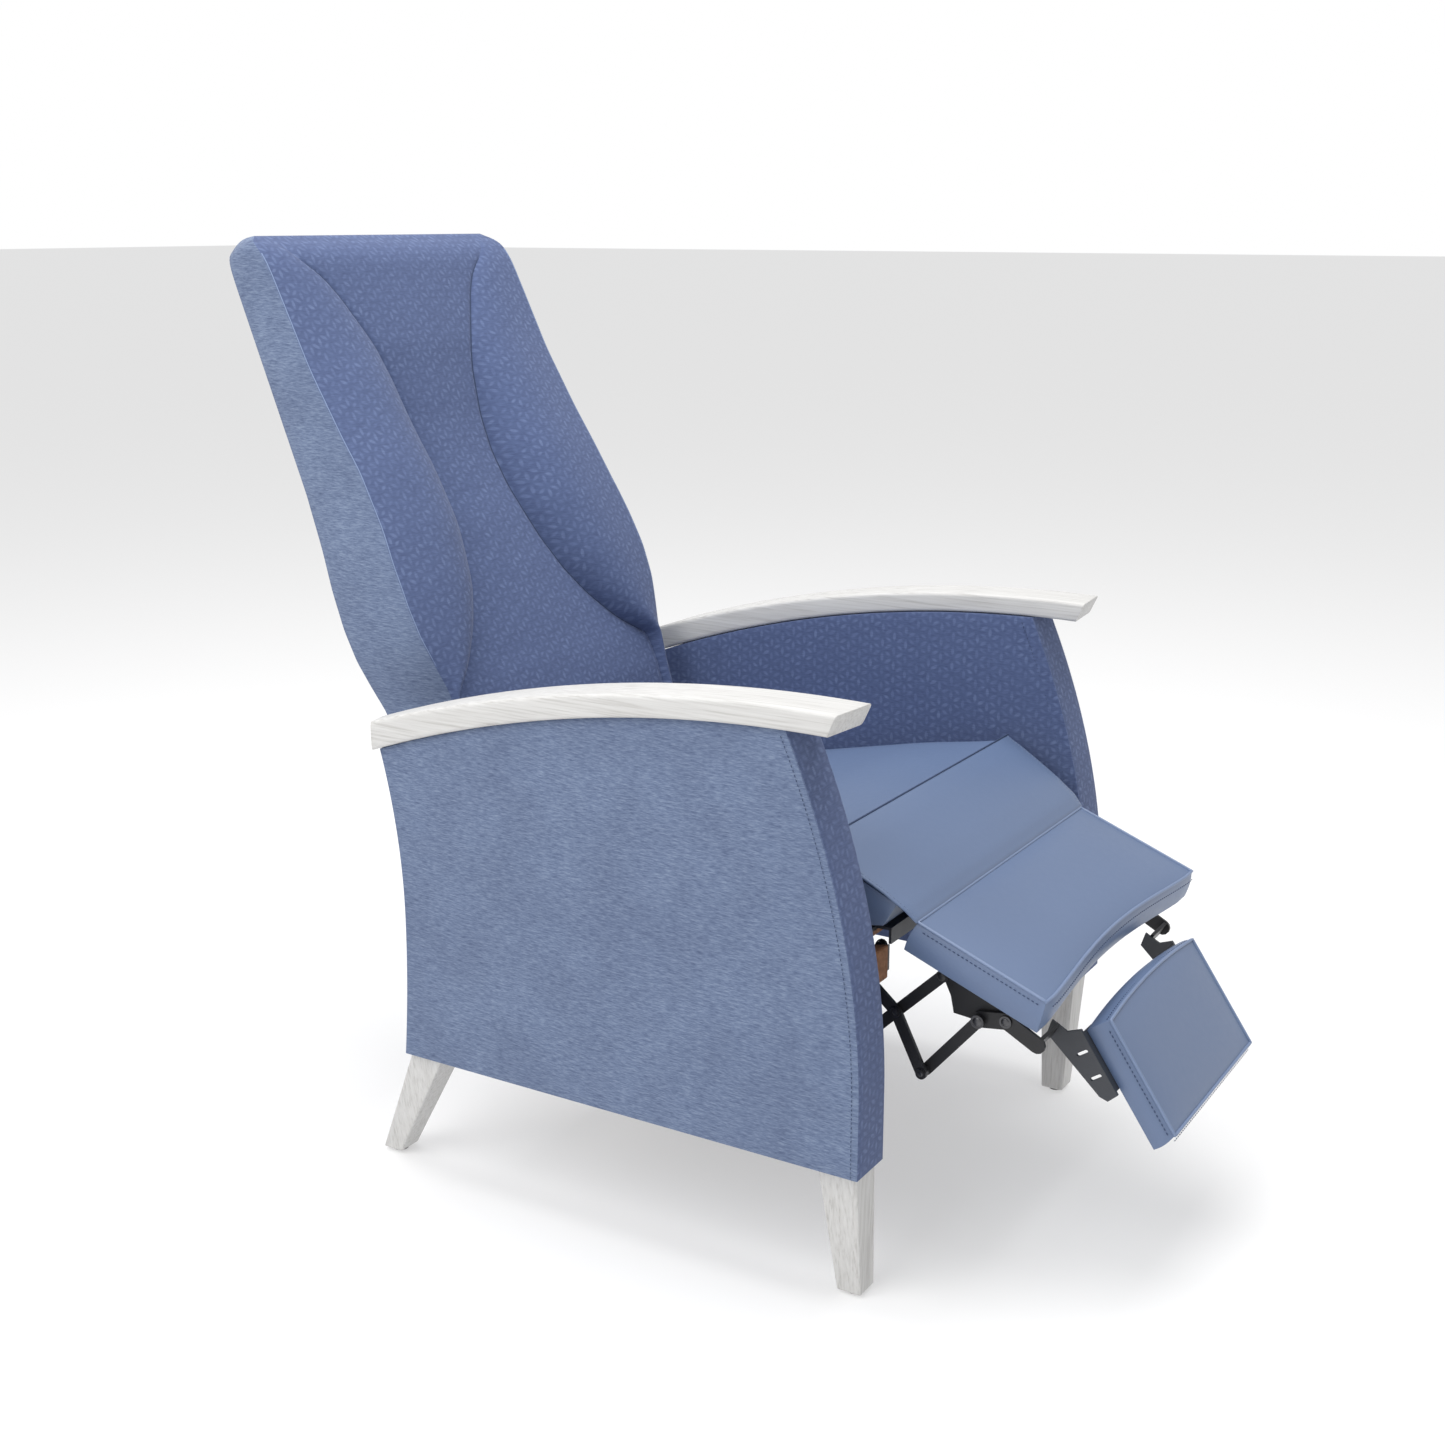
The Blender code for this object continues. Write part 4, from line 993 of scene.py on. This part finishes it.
# %% [markdown]
# ## Rivets and bolts
# Each pivot of the linkage is closed by a domed rivet head over a washer. The heads are one small turned
# shape, repeated on a handful of points by a tree, with the shape's axis along x.

# %% Rivet tree


def rivet_tree():
    """A washer and a domed head on every point, facing along x. A negative height faces the other way."""
    tree, start, end = tree_with_inputs(
        "Rivets on points", ("Radius", "NodeSocketFloat", 0.006), ("Height", "NodeSocketFloat", 0.002),
        ("Material", "NodeSocketMaterial", None))
    add = tree.nodes.new
    washer, dome = add("GeometryNodeMeshCylinder"), add("GeometryNodeMeshUVSphere")
    joined, combine = add("GeometryNodeJoinGeometry"), add("ShaderNodeCombineXYZ")
    washer.inputs["Vertices"].default_value = 24
    washer.inputs["Radius"].default_value = 1.0
    washer.inputs["Depth"].default_value = 0.5
    dome.inputs["Segments"].default_value = 20
    dome.inputs["Rings"].default_value = 10
    dome.inputs["Radius"].default_value = 0.72
    lift, size, turn = (add("GeometryNodeTransform") for _ in range(3))
    lift.inputs["Scale"].default_value = (1, 1, 1.35)
    turn.inputs["Rotation"].default_value = (0, math.pi / 2, 0)
    place_on, realize, paint = (
        add("GeometryNode" + kind) for kind in ("InstanceOnPoints", "RealizeInstances", "SetMaterial"))
    chain(tree,
          (dome.outputs["Mesh"], lift.inputs["Geometry"]), (washer.outputs["Mesh"], joined.inputs[0]),
          (lift.outputs[0], joined.inputs[0]), (joined.outputs[0], size.inputs["Geometry"]),
          (start.outputs["Radius"], combine.inputs["X"]), (start.outputs["Radius"], combine.inputs["Y"]),
          (start.outputs["Height"], combine.inputs["Z"]), (combine.outputs[0], size.inputs["Scale"]),
          (size.outputs[0], turn.inputs["Geometry"]),
          (start.outputs["Geometry"], place_on.inputs["Points"]),
          (turn.outputs[0], place_on.inputs["Instance"]), (place_on.outputs[0], realize.inputs[0]),
          (realize.outputs[0], paint.inputs["Geometry"]),
          (start.outputs["Material"], paint.inputs["Material"]), (paint.outputs[0], end.inputs[0]))
    return tree


RIVETS = rivet_tree()


PLATE_SLOPE = 0.2126  # the linkage plate's upper edge falls to the rear
PLATE_SCREWS = tuple((y, 0.372 - PLATE_SLOPE * (y + 0.306)) for y in (-0.250, -0.225, -0.200))
# Each row: name, body that carries it, finish, radius, height, distance from the middle, and each (y, z).
HEADS = (("link_rivets", "lift_links", rivet_steel, 0.0062, 0.0016, 0.2192,
          ((-0.296, 0.298), (-0.328, 0.234))),
         ("scissor_bolt", "leg_rest", black_steel, 0.0068, 0.0018, 0.2132, ((-0.346, 0.347),)),
         ("pad_link_bolt", "foot_pad", rivet_steel, 0.0075, 0.0018, 0.2082, ((-0.386, 0.303),)),
         ("lever_pivot", "leg_rest", rivet_steel, 0.0068, 0.0016, 0.2022, ((-0.415, 0.307),)),
         ("plate_screws", "seat", rivet_steel, 0.0042, 0.0012, 0.2208, PLATE_SCREWS))

for word, side in SIDES:
    for kind, body, finish, radius, height, out, spots in HEADS:
        name = kind + "_" + word
        dots = bpy.data.meshes.new(name)
        dots.from_pydata([place(side * out, y, z) for y, z in spots], [], [])
        made = run_tree(new_object(name, dots), RIVETS, Radius=radius, Height=height, Material=finish)
        smooth(made)
        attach(made, body)
print("rivet tree:", len(RIVETS.nodes), "nodes")

# %% [markdown]
# ## Floor, light and camera
# A pale seamless floor and soft light, as for a catalogue: a white surround lights the chair evenly from
# all sides, and two large lamps, one above and one high on the left, give the tops their edge and the
# floor its shadow. The surround is dimmer overhead, so that the lamps decide what is bright.

# %% Light the studio
SKY_ABOVE = 0.55  # strength of the surround overhead, against 1 at the horizon
FADE_FROM, FADE_TO = 0.14, 0.34  # heights on the unit sphere between which it dims
FLOOR_HALF = 60
floor_shade = Nodes("studio_floor")
floor_shade.finish((0.58, 0.58, 0.582), 0.9, specular=0.0)
floor_shade.shader.inputs["Emission Color"].default_value = (1, 1, 1, 1)
floor_shade.shader.inputs["Emission Strength"].default_value = 0.43
floor_mesh = bpy.data.meshes.new("floor")
corners = [(x * FLOOR_HALF, y * FLOOR_HALF, 0) for x, y in ((-1, -1), (1, -1), (1, 1), (-1, 1))]
floor_mesh.from_pydata(corners, [], [(0, 1, 2, 3)])
floor = dress(new_object("floor", floor_mesh), floor_shade.material)

world = bpy.data.worlds.new("studio")
bpy.context.scene.world = world
world.use_nodes = True
sky = world.node_tree.nodes
height = sky.new("ShaderNodeSeparateXYZ")
fade = sky.new("ShaderNodeMapRange")
fade.inputs["From Min"].default_value, fade.inputs["From Max"].default_value = FADE_FROM, FADE_TO
fade.inputs["To Min"].default_value, fade.inputs["To Max"].default_value = 1.0, SKY_ABOVE
for source, target in ((sky.new("ShaderNodeTexCoord").outputs["Generated"], height.inputs[0]),
                       (height.outputs["Z"], fade.inputs["Value"]),
                       (fade.outputs["Result"], sky["Background"].inputs["Strength"])):
    world.node_tree.links.new(source, target)
sky["Background"].inputs["Color"].default_value = (1.0, 1.0, 1.0, 1)
bpy.context.scene.view_settings.view_transform = "Standard"


def lamp(name, spot, target, size, power):
    light = bpy.data.lights.new(name, "AREA")
    light.shape, light.size, light.energy = "SQUARE", size, power
    made = bpy.data.objects.new(name, light)
    made.location = spot
    made.rotation_euler = (Vector(target) - Vector(spot)).to_track_quat("-Z", "Y").to_euler()
    bpy.context.scene.collection.objects.link(made)


lamp("key", (-2.5, 0.5, 2.6), (0, 0, 0.5), 2.2, 56)
lamp("top", (0.2, 0.0, 3.4), (0, 0, 0.4), 2.5, 84)

camera = bpy.data.objects.new("camera", bpy.data.cameras.new("camera"))
camera.location = (-1.9207, -1.1145 - MIDDLE_Y, 1.1171)
camera.rotation_euler = (math.radians(75.125), 0, math.radians(-58.714))
camera.data.lens = 47.29
camera.data.sensor_width = 36
bpy.context.scene.collection.objects.link(camera)
bpy.context.scene.camera = camera
print("studio lit")
